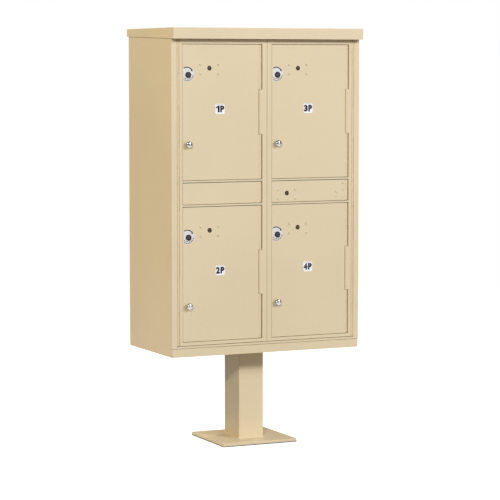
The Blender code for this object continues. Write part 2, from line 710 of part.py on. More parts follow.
def make_label(number, centre, door):
    """Square number plate with rounded corners."""
    reach = LABEL_SIDE / 2 - LABEL_CORNER
    outline = []
    for turn, (sx, sz) in enumerate(((1, 1), (-1, 1), (-1, -1), (1, -1))):
        corner = (centre[0] + sx * reach, centre[1] + sz * reach)
        outline += arc(corner, LABEL_CORNER, 90 * turn, 90 * turn + 90, CORNER_ARC_STEPS)
    back = FRONT_Y - FIT_GAP
    shape = prism(outline, back - LABEL_THICKNESS, back, "Y")
    origin = (centre[0], back, centre[1])
    piece(f"number_label_{number}", shape, label_vinyl(), origin=origin, parent=door)


def make_parcel_door(number, opening_x, opening_z, master):
    """Door with its knuckles at top and bottom, its pin, locks, knob and label."""
    low = opening_z + DOOR_END_GAP
    high = low + DOOR_HEIGHT
    axis_x = door_axis_x(opening_x)
    hinge = axis_empty(f"door_{number}_axis", (axis_x, DOOR_AXIS_Y, low), master)
    shape = prism(door_section(opening_x), low, high)
    origin = (axis_x, DOOR_AXIS_Y, low)
    door = piece(f"parcel_door_{number}", shape, powder_coat(), origin, hinge, True)
    band_low, band_high = hinge_band(low)
    clear = DOOR_KNUCKLE_RADIUS + HINGE_GAP
    notch_low = (axis_x - clear, FRONT_Y - OVERCUT, band_low - KNUCKLE_END_GAP / 2)
    notch_back = DOOR_AXIS_Y + DOOR_KNUCKLE_RADIUS + OVERCUT
    cut(door, box(notch_low, (axis_x + clear, notch_back, band_high + KNUCKLE_END_GAP / 2)))
    bore = DOOR_PIN_RADIUS + PIN_CLEARANCE
    cut(door, rod((axis_x, DOOR_AXIS_Y), bore, low - OVERCUT, high + OVERCUT))
    customer = (opening_x + CUSTOMER_LOCK_INSET, high - CUSTOMER_LOCK_DROP)
    access = (opening_x + ACCESS_LOCK_INSET, high - ACCESS_LOCK_DROP)
    knob = (opening_x + KNOB_INSET, low + KNOB_RISE)
    label = (opening_x + LABEL_INSET, high - LABEL_DROP)
    holes = ((customer, CUSTOMER_BARREL_RADIUS + FIT_GAP), (access, ACCESS_HOLE_RADIUS),
             (knob, KNOB_STUD_RADIUS + FIT_GAP))
    for centre, radius in holes:
        cut(door, rod(centre, radius, FRONT_Y - OVERCUT, DOOR_BACK_Y + OVERCUT, "Y", LOCK_SIDES))
    pin = rod((axis_x, DOOR_AXIS_Y), DOOR_PIN_RADIUS, low, high, sides=PIN_SIDES)
    piece(f"door_hinge_pin_{number}", pin, zinc_steel(), origin, master, True)
    make_customer_lock(number, customer, hinge)
    make_access_lock(number, access, hinge)
    make_knob(number, knob, hinge)
    make_label(number, label, hinge)


# ---- master lock and latches -------------------------------------------------------------------
def make_master_lock(filler, master):
    """Carrier's master lock behind the right filler panel, with a long cam for the strike bar."""
    centre = (RIGHT_OPENING_X + MASTER_LOCK_INSET, SHELF_Z + MASTER_LOCK_OFFSET)
    hole_span = (FRONT_Y - OVERCUT, DOOR_BACK_Y + OVERCUT)
    cut(filler, rod(centre, ACCESS_HOLE_RADIUS, *hole_span, "Y", LOCK_SIDES))
    lock_body("master_lock_body", centre, DOOR_BACK_Y + FIT_GAP, master)
    tail = MASTER_CAM_Y + CAM_THICKNESS + CAM_TAIL_PROUD
    keyed_plug("master_lock_plug", centre, ACCESS_PLUG_RADIUS, FRONT_Y + ACCESS_PLUG_RECESS,
               MASTER_CAM_Y - FIT_GAP, tail, lock_brass(), master, ACCESS_KEYWAY_HEIGHT)
    reach = centre[0] - SHEET / 2 - LATCH_REACH_GAP
    lock_cam("master_lock_cam", centre, MASTER_CAM_Y, reach, master)


def make_left_latch(master):
    """Turn latch on a post behind the left frame, which catches the strike bar."""
    centre = (-LATCH_PIVOT_INSET, SHELF_Z)
    front = FRAME_BACK_Y + FIT_GAP
    arm_back = MASTER_CAM_Y + LATCH_THICKNESS
    reach = LATCH_PIVOT_INSET - SHEET / 2 - LATCH_REACH_GAP
    origin = (centre[0], front, centre[1])
    post = rod(centre, LATCH_PIVOT_RADIUS, front, arm_back, "Y", POST_SIDES)
    latch = piece("left_master_latch", post, zinc_steel(), origin, master)
    half = LATCH_PIVOT_RADIUS
    low = (centre[0] - half, MASTER_CAM_Y, centre[1] - LATCH_HANDLE)
    add(latch, box(low, (centre[0] + half, arm_back, centre[1] + reach)))


# ---- assembly ------------------------------------------------------------------------------------
def main():
    clear_scene()
    make_base_plate()
    make_post()
    make_top_plate()
    make_floor_pan()
    make_base_fascia()
    make_back_panel()
    make_top_panel()
    make_hood()
    make_divider()
    sides = (("left", -1, LEFT_OPENING_X), ("right", 1, RIGHT_OPENING_X))
    for name, side, opening_x in sides:
        make_side_panel(f"{name}_side_panel", side)
        make_shelf(f"{name}_shelf", side)
        make_master_pin(f"{name}_master_pin", side)
        hinge = (side * MASTER_AXIS_X, MASTER_AXIS_Y, MASTER_BOTTOM_Z)
        master = axis_empty(f"{name}_master_axis", hinge)
        make_master_frame(f"{name}_master_frame", side, opening_x, master)
        filler = make_filler_panel(f"{name}_filler_panel", opening_x, master)
        first = 1 if side < 0 else 3
        make_parcel_door(first, opening_x, UPPER_OPENING_Z, master)
        make_parcel_door(first + 1, opening_x, LOWER_OPENING_Z, master)
        if side < 0:
            make_left_latch(master)
        else:
            make_master_lock(filler, master)


main()
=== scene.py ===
"""Looks of the outdoor parcel locker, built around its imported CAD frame.

Metres, in the CAD's own frame: the doors face -Y, +X is to the right and +Z is up. Each place comes
from a CAD node's box; the sizes written here are only those that the CAD leaves to the looks.
"""
import json
import math

import bmesh
import bpy
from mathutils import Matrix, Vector

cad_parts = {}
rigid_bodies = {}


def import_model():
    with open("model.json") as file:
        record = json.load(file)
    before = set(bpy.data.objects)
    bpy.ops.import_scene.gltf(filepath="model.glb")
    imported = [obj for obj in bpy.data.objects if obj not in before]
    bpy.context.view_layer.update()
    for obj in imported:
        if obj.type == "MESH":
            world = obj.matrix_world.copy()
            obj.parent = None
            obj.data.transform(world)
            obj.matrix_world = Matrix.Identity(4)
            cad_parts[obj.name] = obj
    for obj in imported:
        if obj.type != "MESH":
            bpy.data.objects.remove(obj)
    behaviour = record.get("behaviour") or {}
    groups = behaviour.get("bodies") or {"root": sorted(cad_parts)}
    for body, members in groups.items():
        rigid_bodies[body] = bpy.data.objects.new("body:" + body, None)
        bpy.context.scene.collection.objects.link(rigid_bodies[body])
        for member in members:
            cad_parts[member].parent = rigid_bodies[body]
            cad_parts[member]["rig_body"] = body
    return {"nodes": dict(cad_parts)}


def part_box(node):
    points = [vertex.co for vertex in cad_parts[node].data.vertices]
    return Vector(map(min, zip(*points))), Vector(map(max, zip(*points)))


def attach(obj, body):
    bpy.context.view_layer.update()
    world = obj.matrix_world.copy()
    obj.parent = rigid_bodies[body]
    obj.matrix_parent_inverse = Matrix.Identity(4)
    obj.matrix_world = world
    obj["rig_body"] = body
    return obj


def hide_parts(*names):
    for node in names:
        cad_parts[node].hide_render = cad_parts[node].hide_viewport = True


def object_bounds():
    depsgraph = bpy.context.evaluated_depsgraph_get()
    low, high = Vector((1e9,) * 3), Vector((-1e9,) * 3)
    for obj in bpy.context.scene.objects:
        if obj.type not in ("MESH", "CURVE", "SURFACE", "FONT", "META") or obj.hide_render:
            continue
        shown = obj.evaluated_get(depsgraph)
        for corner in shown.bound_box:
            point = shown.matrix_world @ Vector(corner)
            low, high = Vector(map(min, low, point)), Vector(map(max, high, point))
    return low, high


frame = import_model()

cad_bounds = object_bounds()

# ---- sheet metal ---------------------------------------------------------------------------------
WELD_DISTANCE = 0.00001
EDGE_ROUND = 0.0005
BEND_ROUND = 0.0022
POST_BEND = 0.0030
PLATE_ROUND = 0.0009
TOP_PLATE_ROUND = 0.0007
FINE_ROUND = 0.0004
SHARP_DEGREES = 32
SMOOTH_DEGREES = SHARP_DEGREES + 8
FLAT_DEGREES = 1.0
TILT_LIMIT = 0.3
HOOD_TOP_SHARE = 0.9

# ---- places and gaps that the CAD keeps ----------------------------------------------------------
FIT_GAP = 0.0003
DOOR_GAP = 0.0012
DOOR_END_GAP = 0.0020
LIP_SETBACK = 0.0075
FILLER_KNUCKLE = 0.0118

# ---- strips and prints that the looks add --------------------------------------------------------
HINGE_REACH = 0.0060
LEAF_WIDTH = 0.0008
# height of the black strip in the gap above each door, which stands in for painted shade
GAP_SHADE_STRIP_HEIGHT = 0.0017
PRINT_THICKNESS = 0.00012
PRINT_GAP = 0.00002
INK_THICKNESS = 0.00006
FIGURE_BOLDNESS = 0.062

# ---- locks ---------------------------------------------------------------------------------------
CARRIER_PLUG_RADIUS = 0.0062
AXIS_RADIUS = 0.0002
CUT_MARGIN = 0.001
TAIL_HALF = 0.0030
TAIL_ROUND = 0.0003

# ---- studs and rivets, in the plane of the doors -------------------------------------------------
STUD_SPREAD = 0.0360
STUD_RISE = 0.0170
STUD_DROP = 0.0030
MASTER_STUD_DROP = 0.0040
STUD_RADIUS = 0.0041
STUD_HEIGHT = 0.0028
RIVET_RADIUS = 0.0028
FILLER_RIVETS = ((0.3005, 0.0663), (0.3005, 0.0402), (0.3005, 0.0149), (0.2724, 0.0330), (0.2724, 0.0162))

# ---- camera and lights ---------------------------------------------------------------------------
CAMERA_PLACE = (-3.4473, -7.4326, 1.4311)
CAMERA_YAW = 25.053
CAMERA_PITCH = 4.888
CAMERA_LENS = 154.2
SENSOR_WIDTH = 36.0
FLOOR_RADIUS = 6.0
LIGHTS = (
    # name, azimuth, elevation, distance, size, power, colour
    ("key", -32.0, 22.0, 12.0, 1.3, 575.0, (1.0, 1.0, 0.95)),
    ("side", -102.0, 42.0, 10.0, 3.0, 535.0, (1.0, 0.905, 0.755)),
    ("fill", 28.0, 25.0, 10.0, 3.0, 570.0, (0.755, 0.81, 1.0)),
    ("sheen", 25.0, -1.0, 9.0, 2.0, 45.0, (1.0, 1.0, 1.0)),
    ("back", 122.0, 22.0, 10.0, 4.0, 400.0, (1.0, 1.0, 1.0)),
)
WORLD_LIGHT = 0.235
WORLD_COLOUR = (1.0, 0.95, 0.87)
FLOOR_GLOW = 0.5
LIGHT_AIM = Vector((0.0, 0.0, 0.95))

NUMBERS = (1, 2, 3, 4)
SAND = (0.760, 0.617, 0.383)
# near-black share of the sand colour: painted shade on the faces inside the gaps between doors and frames
PAINTED_GAP_SHADE_TONE = 0.16


# ---- materials -----------------------------------------------------------------------------------
def new_material(name, metallic, roughness):
    """Material with its shader and the object's own coordinates, in metres."""
    made = bpy.data.materials.new(name)
    made.use_nodes = True
    tree = made.node_tree
    shader = tree.nodes["Principled BSDF"]
    shader.inputs["Metallic"].default_value = metallic
    shader.inputs["Roughness"].default_value = roughness
    place = tree.nodes.new("ShaderNodeTexCoord").outputs["Object"]
    return made, tree, shader, place


def stretched(tree, place, scale):
    """The coordinates drawn out along some axes, for brushed marks."""
    node = tree.nodes.new("ShaderNodeMapping")
    node.inputs["Scale"].default_value = scale
    tree.links.new(place, node.inputs["Vector"])
    return node.outputs["Vector"]


def noise(tree, place, scale, detail=2.0):
    node = tree.nodes.new("ShaderNodeTexNoise")
    node.inputs["Scale"].default_value = scale
    node.inputs["Detail"].default_value = detail
    tree.links.new(place, node.inputs["Vector"])
    return node.outputs["Fac"]


def spots(tree, place, scale):
    node = tree.nodes.new("ShaderNodeTexVoronoi")
    node.inputs["Scale"].default_value = scale
    tree.links.new(place, node.inputs["Vector"])
    return node.outputs["Distance"]


def between(tree, source, low, high, to_low, to_high):
    """A value carried from one range to another, held at its ends."""
    node = tree.nodes.new("ShaderNodeMapRange")
    for socket, value in (("From Min", low), ("From Max", high), ("To Min", to_low), ("To Max", to_high)):
        node.inputs[socket].default_value = value
    tree.links.new(source, node.inputs["Value"])
    return node.outputs["Result"]


def tinted(tree, source, low, high, colour_low, colour_high):
    """A colour between two, by a value between low and high."""
    node = tree.nodes.new("ShaderNodeValToRGB")
    stops = node.color_ramp.elements
    stops[0].position = low
    stops[0].color = (*colour_low, 1.0)
    stops[1].position = high
    stops[1].color = (*colour_high, 1.0)
    tree.links.new(source, node.inputs["Fac"])
    return node.outputs["Color"]


def blended(tree, share, first, second, mode="MIX"):
    """Two colours mixed by a share, which may be a number or a socket."""
    node = tree.nodes.new("ShaderNodeMix")
    node.data_type = "RGBA"
    node.blend_type = mode
    if isinstance(share, float):
        node.inputs["Factor"].default_value = share
    else:
        tree.links.new(share, node.inputs["Factor"])
    for socket, value in (("A", first), ("B", second)):
        target = next(s for s in node.inputs if s.name == socket and s.type == "RGBA")
        if isinstance(value, tuple):
            target.default_value = (*value, 1.0)
        else:
            tree.links.new(value, target)
    return next(s for s in node.outputs if s.type == "RGBA")


def bumped(tree, shader, layers):
    """Bump in layers of (height, depth in metres, strength), each over the one before."""
    normal = None
    for height, depth, strength in layers:
        node = tree.nodes.new("ShaderNodeBump")
        node.inputs["Distance"].default_value = depth
        node.inputs["Strength"].default_value = strength
        tree.links.new(height, node.inputs["Height"])
        if normal:
            tree.links.new(normal, node.inputs["Normal"])
        normal = node.outputs["Normal"]
    tree.links.new(normal, shader.inputs["Normal"])


def scaled(colour, share):
    return tuple(part * share for part in colour)


def powder_coat():
    """Sand powder coat: orange peel, a fine grain, cloudy tone, lighter edges that are partly a thinner
    coat and partly a painted highlight, and painted shade on faces in the gaps.
    """
    made, tree, shader, place = new_material("sand_powder_coat", 0.0, 0.45)
    cloud = noise(tree, place, 2.2, 3.0)
    grain = noise(tree, place, 700.0, 1.0)
    peel = noise(tree, place, 300.0, 2.0)
    body = tinted(tree, cloud, 0.35, 0.65, scaled(SAND, 0.975), scaled(SAND, 1.02))
    speckle = tinted(tree, grain, 0.3, 0.7, (0.94, 0.94, 0.935), (1.0, 1.0, 1.0))
    coat = blended(tree, 1.0, body, speckle, "MULTIPLY")
    # rounded edge faces drawn lighter: partly a thinner coat on the edges, partly a painted highlight
    edge = tree.nodes.new("ShaderNodeAttribute")
    edge.attribute_name = "edge"
    share = between(tree, edge.outputs["Fac"], 0.0, 1.0, 0.0, 0.35)
    coat = blended(tree, share, coat, scaled(SAND, 1.12))
    # faces marked as in a gap get a near-black coat: painted shade in the gaps
    painted_gap_shade = tree.nodes.new("ShaderNodeAttribute")
    painted_gap_shade.attribute_name = "painted_gap_shade"
    coat = blended(tree, painted_gap_shade.outputs["Fac"], coat, scaled(SAND, PAINTED_GAP_SHADE_TONE))
    tree.links.new(coat, shader.inputs["Base Color"])
    gloss = between(tree, noise(tree, place, 45.0, 3.0), 0.3, 0.7, 0.40, 0.52)
    tree.links.new(gloss, shader.inputs["Roughness"])
    bumped(tree, shader, ((peel, 0.00008, 0.5), (grain, 0.00002, 0.35)))
    return made


def plated(name, colour, dull, bright, wear):
    """Plated metal with fine drawn marks; dull and bright are its roughness at both ends."""
    made, tree, shader, place = new_material(name, 1.0, dull)
    marks = noise(tree, stretched(tree, place, (1.0, 1.0, 0.08)), 1800.0, 2.0)
    cloud = noise(tree, place, 90.0, 3.0)
    tone = tinted(tree, cloud, 0.3, 0.7, scaled(colour, 1.0 - wear), scaled(colour, 1.0 + wear / 2))
    tree.links.new(tone, shader.inputs["Base Color"])
    tree.links.new(between(tree, cloud, 0.3, 0.7, bright, dull), shader.inputs["Roughness"])
    bumped(tree, shader, ((marks, 0.00001, 0.4),))
    return made


def cast_metal():
    """Cast lock case with a sandy skin, coloured near black: painted shade for the dark ring seen round
    the plug through the door's lock hole.
    """
    made, tree, shader, place = new_material("cast_lock_painted_shade", 0.7, 0.55)
    skin = noise(tree, place, 1100.0, 3.0)
    patch = noise(tree, place, 120.0, 2.0)
    # near-black tones: painted shade where the case shows through the door's hole
    tone = tinted(tree, patch, 0.35, 0.7, (0.030, 0.026, 0.020), (0.075, 0.062, 0.042))
    tree.links.new(tone, shader.inputs["Base Color"])
    tree.links.new(between(tree, patch, 0.3, 0.7, 0.45, 0.65), shader.inputs["Roughness"])
    bumped(tree, shader, ((skin, 0.00005, 0.5),))
    return made


def printed(name, colour, rough):
    """Vinyl or ink: an even colour with a faint mottle and a soft film texture."""
    made, tree, shader, place = new_material(name, 0.0, rough)
    mottle = noise(tree, place, 260.0, 2.0)
    tone = tinted(tree, mottle, 0.3, 0.7, scaled(colour, 0.97), colour)
    tree.links.new(tone, shader.inputs["Base Color"])
    tree.links.new(between(tree, mottle, 0.3, 0.7, rough - 0.04, rough + 0.05), shader.inputs["Roughness"])
    bumped(tree, shader, ((noise(tree, place, 900.0, 1.0), 0.00001, 0.25),))
    shader.inputs["Specular IOR Level"].default_value = 0.25
    return made


def foam_rubber():
    made, tree, shader, place = new_material("black_foam_seal", 0.0, 0.85)
    pores = spots(tree, place, 1400.0)
    tone = tinted(tree, pores, 0.1, 0.6, (0.010, 0.010, 0.010), (0.034, 0.034, 0.036))
    tree.links.new(tone, shader.inputs["Base Color"])
    tree.links.new(between(tree, pores, 0.1, 0.6, 0.9, 0.75), shader.inputs["Roughness"])
    bumped(tree, shader, ((pores, 0.0002, 0.6),))
    return made


def floor_paint():
    """Pale studio floor whose far edge fades into the background."""
    made, tree, shader, place = new_material("pale_floor", 0.0, 0.75)
    mottle = noise(tree, place, 1.5, 3.0)
    tree.links.new(tinted(tree, mottle, 0.3, 0.7, (0.93, 0.93, 0.93), (0.96, 0.96, 0.96)),
                   shader.inputs["Base Color"])
    distance = tree.nodes.new("ShaderNodeVectorMath")
    distance.operation = "LENGTH"
    tree.links.new(place, distance.inputs[0])
    alpha = between(tree, distance.outputs["Value"], FLOOR_RADIUS * 0.4, FLOOR_RADIUS, 1.0, 0.0)
    tree.links.new(alpha, shader.inputs["Alpha"])
    shader.inputs["Emission Color"].default_value = (1.0, 1.0, 1.0, 1.0)
    shader.inputs["Emission Strength"].default_value = FLOOR_GLOW
    return made


# ---- shapes --------------------------------------------------------------------------------------
def join(target, source):
    """Adds one shape's faces to another and frees it."""
    mesh = bpy.data.meshes.new("joined")
    source.to_mesh(mesh)
    source.free()
    target.from_mesh(mesh)
    bpy.data.meshes.remove(mesh)
    return target


def joined(*shapes):
    whole = bmesh.new()
    for shape in shapes:
        join(whole, shape)
    return whole


def arc(centre, radius, start, end, steps):
    """Points on an arc, angles in degrees, both ends included."""
    points = []
    for i in range(steps + 1):
        angle = math.radians(start + (end - start) * i / steps)
        points.append((centre[0] + radius * math.cos(angle), centre[1] + radius * math.sin(angle)))
    return points


def ring_points(centre, radius, sides, turn=0.0):
    return arc(centre, radius, turn, turn + 360 * (sides - 1) / sides, sides - 1)


def lift(axis, u, v, w):
    """Point from coordinates across and along an axis; (u, v) is (x, y), (y, z) or (x, z)."""
    if axis == "Z":
        return (u, v, w)
    return (w, u, v) if axis == "X" else (u, w, v)


def lofted(rings, closed_loop=False):
    """Skin through rings of points, capped at both ends unless it closes on itself."""
    shape = bmesh.new()
    made = [[shape.verts.new(point) for point in ring] for ring in rings]
    pairs = list(zip(made, made[1:]))
    if closed_loop:
        pairs.append((made[-1], made[0]))
    else:
        shape.faces.new(made[0])
        shape.faces.new(made[-1])
    for near, far in pairs:
        for i in range(len(near)):
            j = (i + 1) % len(near)
            shape.faces.new((near[i], near[j], far[j], far[i]))
    bmesh.ops.recalc_face_normals(shape, faces=shape.faces)
    return shape


def prism(outline, low, high, axis="Z"):
    return lofted([[lift(axis, u, v, w) for u, v in outline] for w in (low, high)])


def block(low, high):
    outline = ((low[0], low[1]), (high[0], low[1]), (high[0], high[1]), (low[0], high[1]))
    return prism(outline, low[2], high[2])


def turned(centre, profile, sides=64, hollow=False, axis="Y"):
    """Solid of revolution; profile is (radius, place along the axis), closed on itself if hollow."""
    rings = []
    for radius, w in profile:
        rings.append([lift(axis, u, v, w) for u, v in ring_points(centre, radius, sides)])
    return lofted(rings, hollow)


def dome(centre, radius, height, seat, facing=-1, sides=32, steps=6):
    """Low round head on a face; facing is the side along Y on which it stands."""
    profile = [(radius, seat - facing * height * 0.2)]
    for i in range(steps):
        angle = math.radians(90 * i / steps)
        profile.append((radius * math.cos(angle), seat + facing * height * math.sin(angle)))
    profile.append((radius * 0.05, seat + facing * height))
    return turned(centre, profile, sides)


def eased(shape, width, segments=2, keep=None):
    """Rounds the sharp edges, or those that keep picks, and marks the new faces as edge, which the coat
    draws lighter: partly a thinner coat, partly a painted highlight.
    """
    mark = shape.faces.layers.float.get("edge") or shape.faces.layers.float.new("edge")
    limit = math.radians(SHARP_DEGREES)
    picked = []
    for edge in shape.edges:
        if len(edge.link_faces) == 2 and edge.calc_face_angle() > limit:
            if keep is None or keep(edge):
                picked.append(edge)
    done = bmesh.ops.bevel(shape, geom=picked, offset=width, offset_type="OFFSET", affect="EDGES",
                           segments=segments, profile=0.5, clamp_overlap=True)
    for face in done["faces"]:
        face[mark] = 1.0
    return shape


def cad_shape(node):
    """A CAD node's mesh with its split points welded and its flat faces whole again."""
    shape = bmesh.new()
    shape.from_mesh(frame["nodes"][node].data)
    bmesh.ops.remove_doubles(shape, verts=shape.verts, dist=WELD_DISTANCE)
    bmesh.ops.dissolve_limit(shape, angle_limit=math.radians(FLAT_DEGREES), verts=shape.verts,
                             edges=shape.edges)
    return shape


def piece(name, shape, material, body, replaces=(), weighted=False):
    """Shown piece from a shape drawn in the frame, riding on a body."""
    mesh = bpy.data.meshes.new(name)
    shape.to_mesh(mesh)
    shape.free()
    mesh.materials.append(material)
    mesh.shade_smooth()
    mesh.set_sharp_from_angle(angle=math.radians(SMOOTH_DEGREES))
    made = bpy.data.objects.new(name, mesh)
    bpy.context.scene.collection.objects.link(made)
    if weighted:
        step = made.modifiers.new("weighted_normals", "WEIGHTED_NORMAL")
        step.keep_sharp = True
    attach(made, body)
    if replaces:
        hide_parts(*replaces)
    return made


def carved(piece_object, cutter):
    """Cuts a shape out of a finished piece and keeps the result as its mesh."""
    mesh = bpy.data.meshes.new("cutter")
    cutter.to_mesh(mesh)
    cutter.free()
    tool = bpy.data.objects.new("cutter", mesh)
    bpy.context.scene.collection.objects.link(tool)
    step = piece_object.modifiers.new("cut", "BOOLEAN")
    step.operation = "DIFFERENCE"
    step.object = tool
    graph = bpy.context.evaluated_depsgraph_get()
    result = bpy.data.meshes.new_from_object(piece_object.evaluated_get(graph))
    piece_object.modifiers.clear()
    piece_object.data = result
    bpy.data.objects.remove(tool)
    result.shade_smooth()
    result.set_sharp_from_angle(angle=math.radians(SMOOTH_DEGREES))


def notched(made, centre, left, right, down, up, front, back):
    """Cuts a box out of a finished piece, measured from a centre seen from the front."""
    carved(made, block((centre[0] - left, front, centre[1] - down),
                       (centre[0] + right, back, centre[1] + up)))


# ---- hardware shared by the doors ----------------------------------------------------------------
def body_of(node):
    return frame["nodes"][node]["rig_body"]


def middle(node):
    low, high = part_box(node)
    return (low + high) / 2


def front_centre(node):
    """A node's centre as seen from the front: (x, z)."""
    low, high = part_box(node)
    return ((low.x + high.x) / 2, (low.z + high.z) / 2)


def hex_nut(centre, across, front, thickness, hole, turn=0.0):
    """Nut along Y with chamfered corners and a round bore."""
    radius = across / math.sqrt(3)
    sides = 48
    rings = []
    for y, share in ((front, 0.94), (front + thickness * 0.16, 1.0), (front + thickness * 0.84, 1.0),
                     (front + thickness, 0.94)):
        ring = []
        for i in range(sides):
            angle = math.radians(360 * i / sides)
            wedge = (math.degrees(angle) + 30) % 60 - 30
            reach = radius * math.cos(math.radians(30)) / math.cos(math.radians(wedge))
            reach = min(reach, radius * share if share < 1 else radius * 0.985)
            spun = angle + math.radians(turn)
            ring.append((centre[0] + reach * math.cos(spun), y, centre[1] + reach * math.sin(spun)))
        rings.append(ring)
    for y in (front + thickness, front):
        rings.append([(x, y, z) for x, z in ring_points(centre, hole, sides, turn)])
    return lofted(rings, closed_loop=True)


def washer(centre, inner, outer, front, thickness):
    edge = thickness * 0.25
    profile = ((inner, front), (outer - edge, front), (outer, front + edge),
               (outer, front + thickness - edge), (outer - edge, front + thickness),
               (inner, front + thickness))
    return turned(centre, profile, 40, hollow=True)


def threaded_end(centre, radius, front, length, pitch=0.0008):
    """Bolt end along Y with its thread as turned ridges and a chamfered tip."""
    profile = [(radius, front)]
    y = front
    while y + pitch < front + length - radius * 0.3:
        profile += [(radius, y + pitch * 0.2), (radius - pitch * 0.45, y + pitch * 0.6)]
        y += pitch
    profile += [(radius, front + length - radius * 0.35), (radius * 0.7, front + length)]
    return turned(centre, profile, 24)


def stud_with_nut(name, centre, seat, body):
    """Washer, nut and stud end that hold a lock on a door's back."""
    washer_hole, washer_radius, washer_thickness = 0.0023, 0.0046, 0.0008
    nut_width, nut_hole, nut_thickness, nut_turn = 0.0070, 0.0021, 0.0026, 15.0
    stud, stud_proud = 0.0020, 0.0022
    shape = joined(washer(centre, washer_hole, washer_radius, seat, washer_thickness),
                   hex_nut(centre, nut_width, seat + washer_thickness, nut_thickness, nut_hole, nut_turn),
                   threaded_end(centre, stud, seat, washer_thickness + nut_thickness + stud_proud))
    return piece(name, shape, finish["zinc"], body, weighted=True)


def stud_mark(name, centre, front, body, radius=STUD_RADIUS):
    """Painted-over head of a stud or a rivet on the front of a panel."""
    tip = front - STUD_HEIGHT
    profile = ((radius, front + STUD_HEIGHT * 0.2), (radius, front - STUD_HEIGHT * 0.45),
               (radius * 0.92, front - STUD_HEIGHT * 0.78), (radius * 0.70, tip), (radius * 0.05, tip))
    return piece(name, turned(centre, profile, 32), finish["coat"], body)


def stud_places(centre, drop):
    places = []
    for across in (-STUD_SPREAD, STUD_SPREAD):
        for rise in (STUD_RISE, -STUD_RISE):
            places.append((centre[0] + across, centre[1] - drop + rise))
    return places


# ---- sheet-metal pieces --------------------------------------------------------------------------
def on_outer_corner(node):
    """Picks a node's long edges that lie on its box: the folds of a bent sheet."""
    low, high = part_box(node)
    reach = WELD_DISTANCE * 2

    def picks(edge):
        ends = [vertex.co for vertex in edge.verts]
        sides = 0
        for axis in range(3):
            for wall in (low[axis], high[axis]):
                if all(abs(end[axis] - wall) < reach for end in ends):
                    sides += 1
        return sides >= 2
    return picks


def sheet(node, width=EDGE_ROUND, bend=None, bends_on=None, is_painted_gap_shade=None):
    """Sheet-metal piece that stands for a CAD node: rounded folds, then eased edges."""
    shape = cad_shape(node)
    if bend:
        eased(shape, bend, 4, bends_on or on_outer_corner(node))
    eased(shape, width)
    # faces that the pick gives carry the mark for painted shade in the gaps
    if is_painted_gap_shade:
        mark = shape.faces.layers.float.new("painted_gap_shade")
        for face in shape.faces:
            face[mark] = float(is_painted_gap_shade(face.normal, face.calc_center_median()))
    name = f"{node}_skin"
    return piece(name, shape, finish["coat"], body_of(node), (node,), weighted=True)


def in_door_gap(normal, centre):
    """Picks a door's upward faces, which stay in the shade of the frame."""
    return normal.z > TILT_LIMIT


def in_frame_gap(node):
    """Picks the downward faces of a frame's openings, which stay in the shade."""
    low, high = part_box(node)
    rim = 0.0100
    return lambda normal, centre: low.z + rim < centre.z < high.z - rim and normal.z < -TILT_LIMIT


def above(node, share):
    """Picks the outer corner edges of a node that reach above a share of its height."""
    low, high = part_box(node)
    limit = low.z + (high.z - low.z) * share
    corner = on_outer_corner(node)
    return lambda edge: corner(edge) and max(vertex.co.z for vertex in edge.verts) > limit


def make_cabinet():
    for node in ("floor_pan", "base_fascia", "left_side_panel", "right_side_panel", "back_panel",
                 "top_panel", "centre_divider", "latch_strike", "left_shelf", "right_shelf"):
        sheet(node)
    sheet("hood", bend=BEND_ROUND, bends_on=above("hood", HOOD_TOP_SHARE))
    for side in ("left", "right"):
        sheet(f"{side}_master_frame", FINE_ROUND, is_painted_gap_shade=in_frame_gap(f"{side}_master_frame"))
        sheet(f"{side}_filler_panel", FINE_ROUND, is_painted_gap_shade=in_door_gap)
    for number in NUMBERS:
        sheet(f"parcel_door_{number}", FINE_ROUND, is_painted_gap_shade=in_door_gap)


def make_pedestal():
    sheet("base_plate", PLATE_ROUND)
    sheet("pedestal_post", bend=POST_BEND)
    sheet("pedestal_top_plate", TOP_PLATE_ROUND)
    low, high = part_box("pedestal_post")
    body = body_of("pedestal_post")
    plate_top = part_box("base_plate")[1].z
    top_plate_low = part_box("pedestal_top_plate")[0].z
    weld_bead("base_weld", low, high, plate_top, 1, body)
    make_footing()
    weld_bead("top_weld", low, high, top_plate_low, -1, body)


def make_footing():
    """Thin black foam strip under the base plate: a dark line along its foot, put there as painted shade
    where the plate meets the floor.
    """
    low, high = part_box("base_plate")
    body = body_of("base_plate")
    proud, height, round_over = 0.0008, 0.0026, 0.0004
    rings = []
    for out, z in ((-FIT_GAP, low.z), (proud, low.z), (proud, low.z + height - round_over),
                   (proud - round_over, low.z + height), (-FIT_GAP, low.z + height)):
        rings.append([(x, y, z) for x, y in ((low.x - out, low.y - out), (high.x + out, low.y - out),
                                             (high.x + out, high.y + out), (low.x - out, high.y + out))])
    # black strip round the plate's foot: painted shade
    piece("base_foot_shade_strip", lofted(rings, closed_loop=True), finish["foam"], body, weighted=True)


def post_outline(low, high):
    """Points round the post's foot, each with the direction that faces away from the post."""
    outline = []
    corners = ((high.x, high.y, 0), (low.x, high.y, 90), (low.x, low.y, 180), (high.x, low.y, 270))
    for x, y, start in corners:
        turn_x = x - math.copysign(POST_BEND, x)
        turn_y = y - math.copysign(POST_BEND, y)
        for i in range(5):
            angle = math.radians(start + 90 * i / 4)
            outline.append((turn_x + POST_BEND * math.cos(angle), turn_y + POST_BEND * math.sin(angle),
                            math.cos(angle), math.sin(angle)))
    return outline


def walked(outline, step):
    """A closed outline with more points, about a step apart."""
    path = []
    for here, there in zip(outline, outline[1:] + outline[:1]):
        length = math.hypot(there[0] - here[0], there[1] - here[1])
        count = max(1, round(length / step))
        for i in range(count):
            share = i / count
            path.append([a + (b - a) * share for a, b in zip(here, there)])
    return path


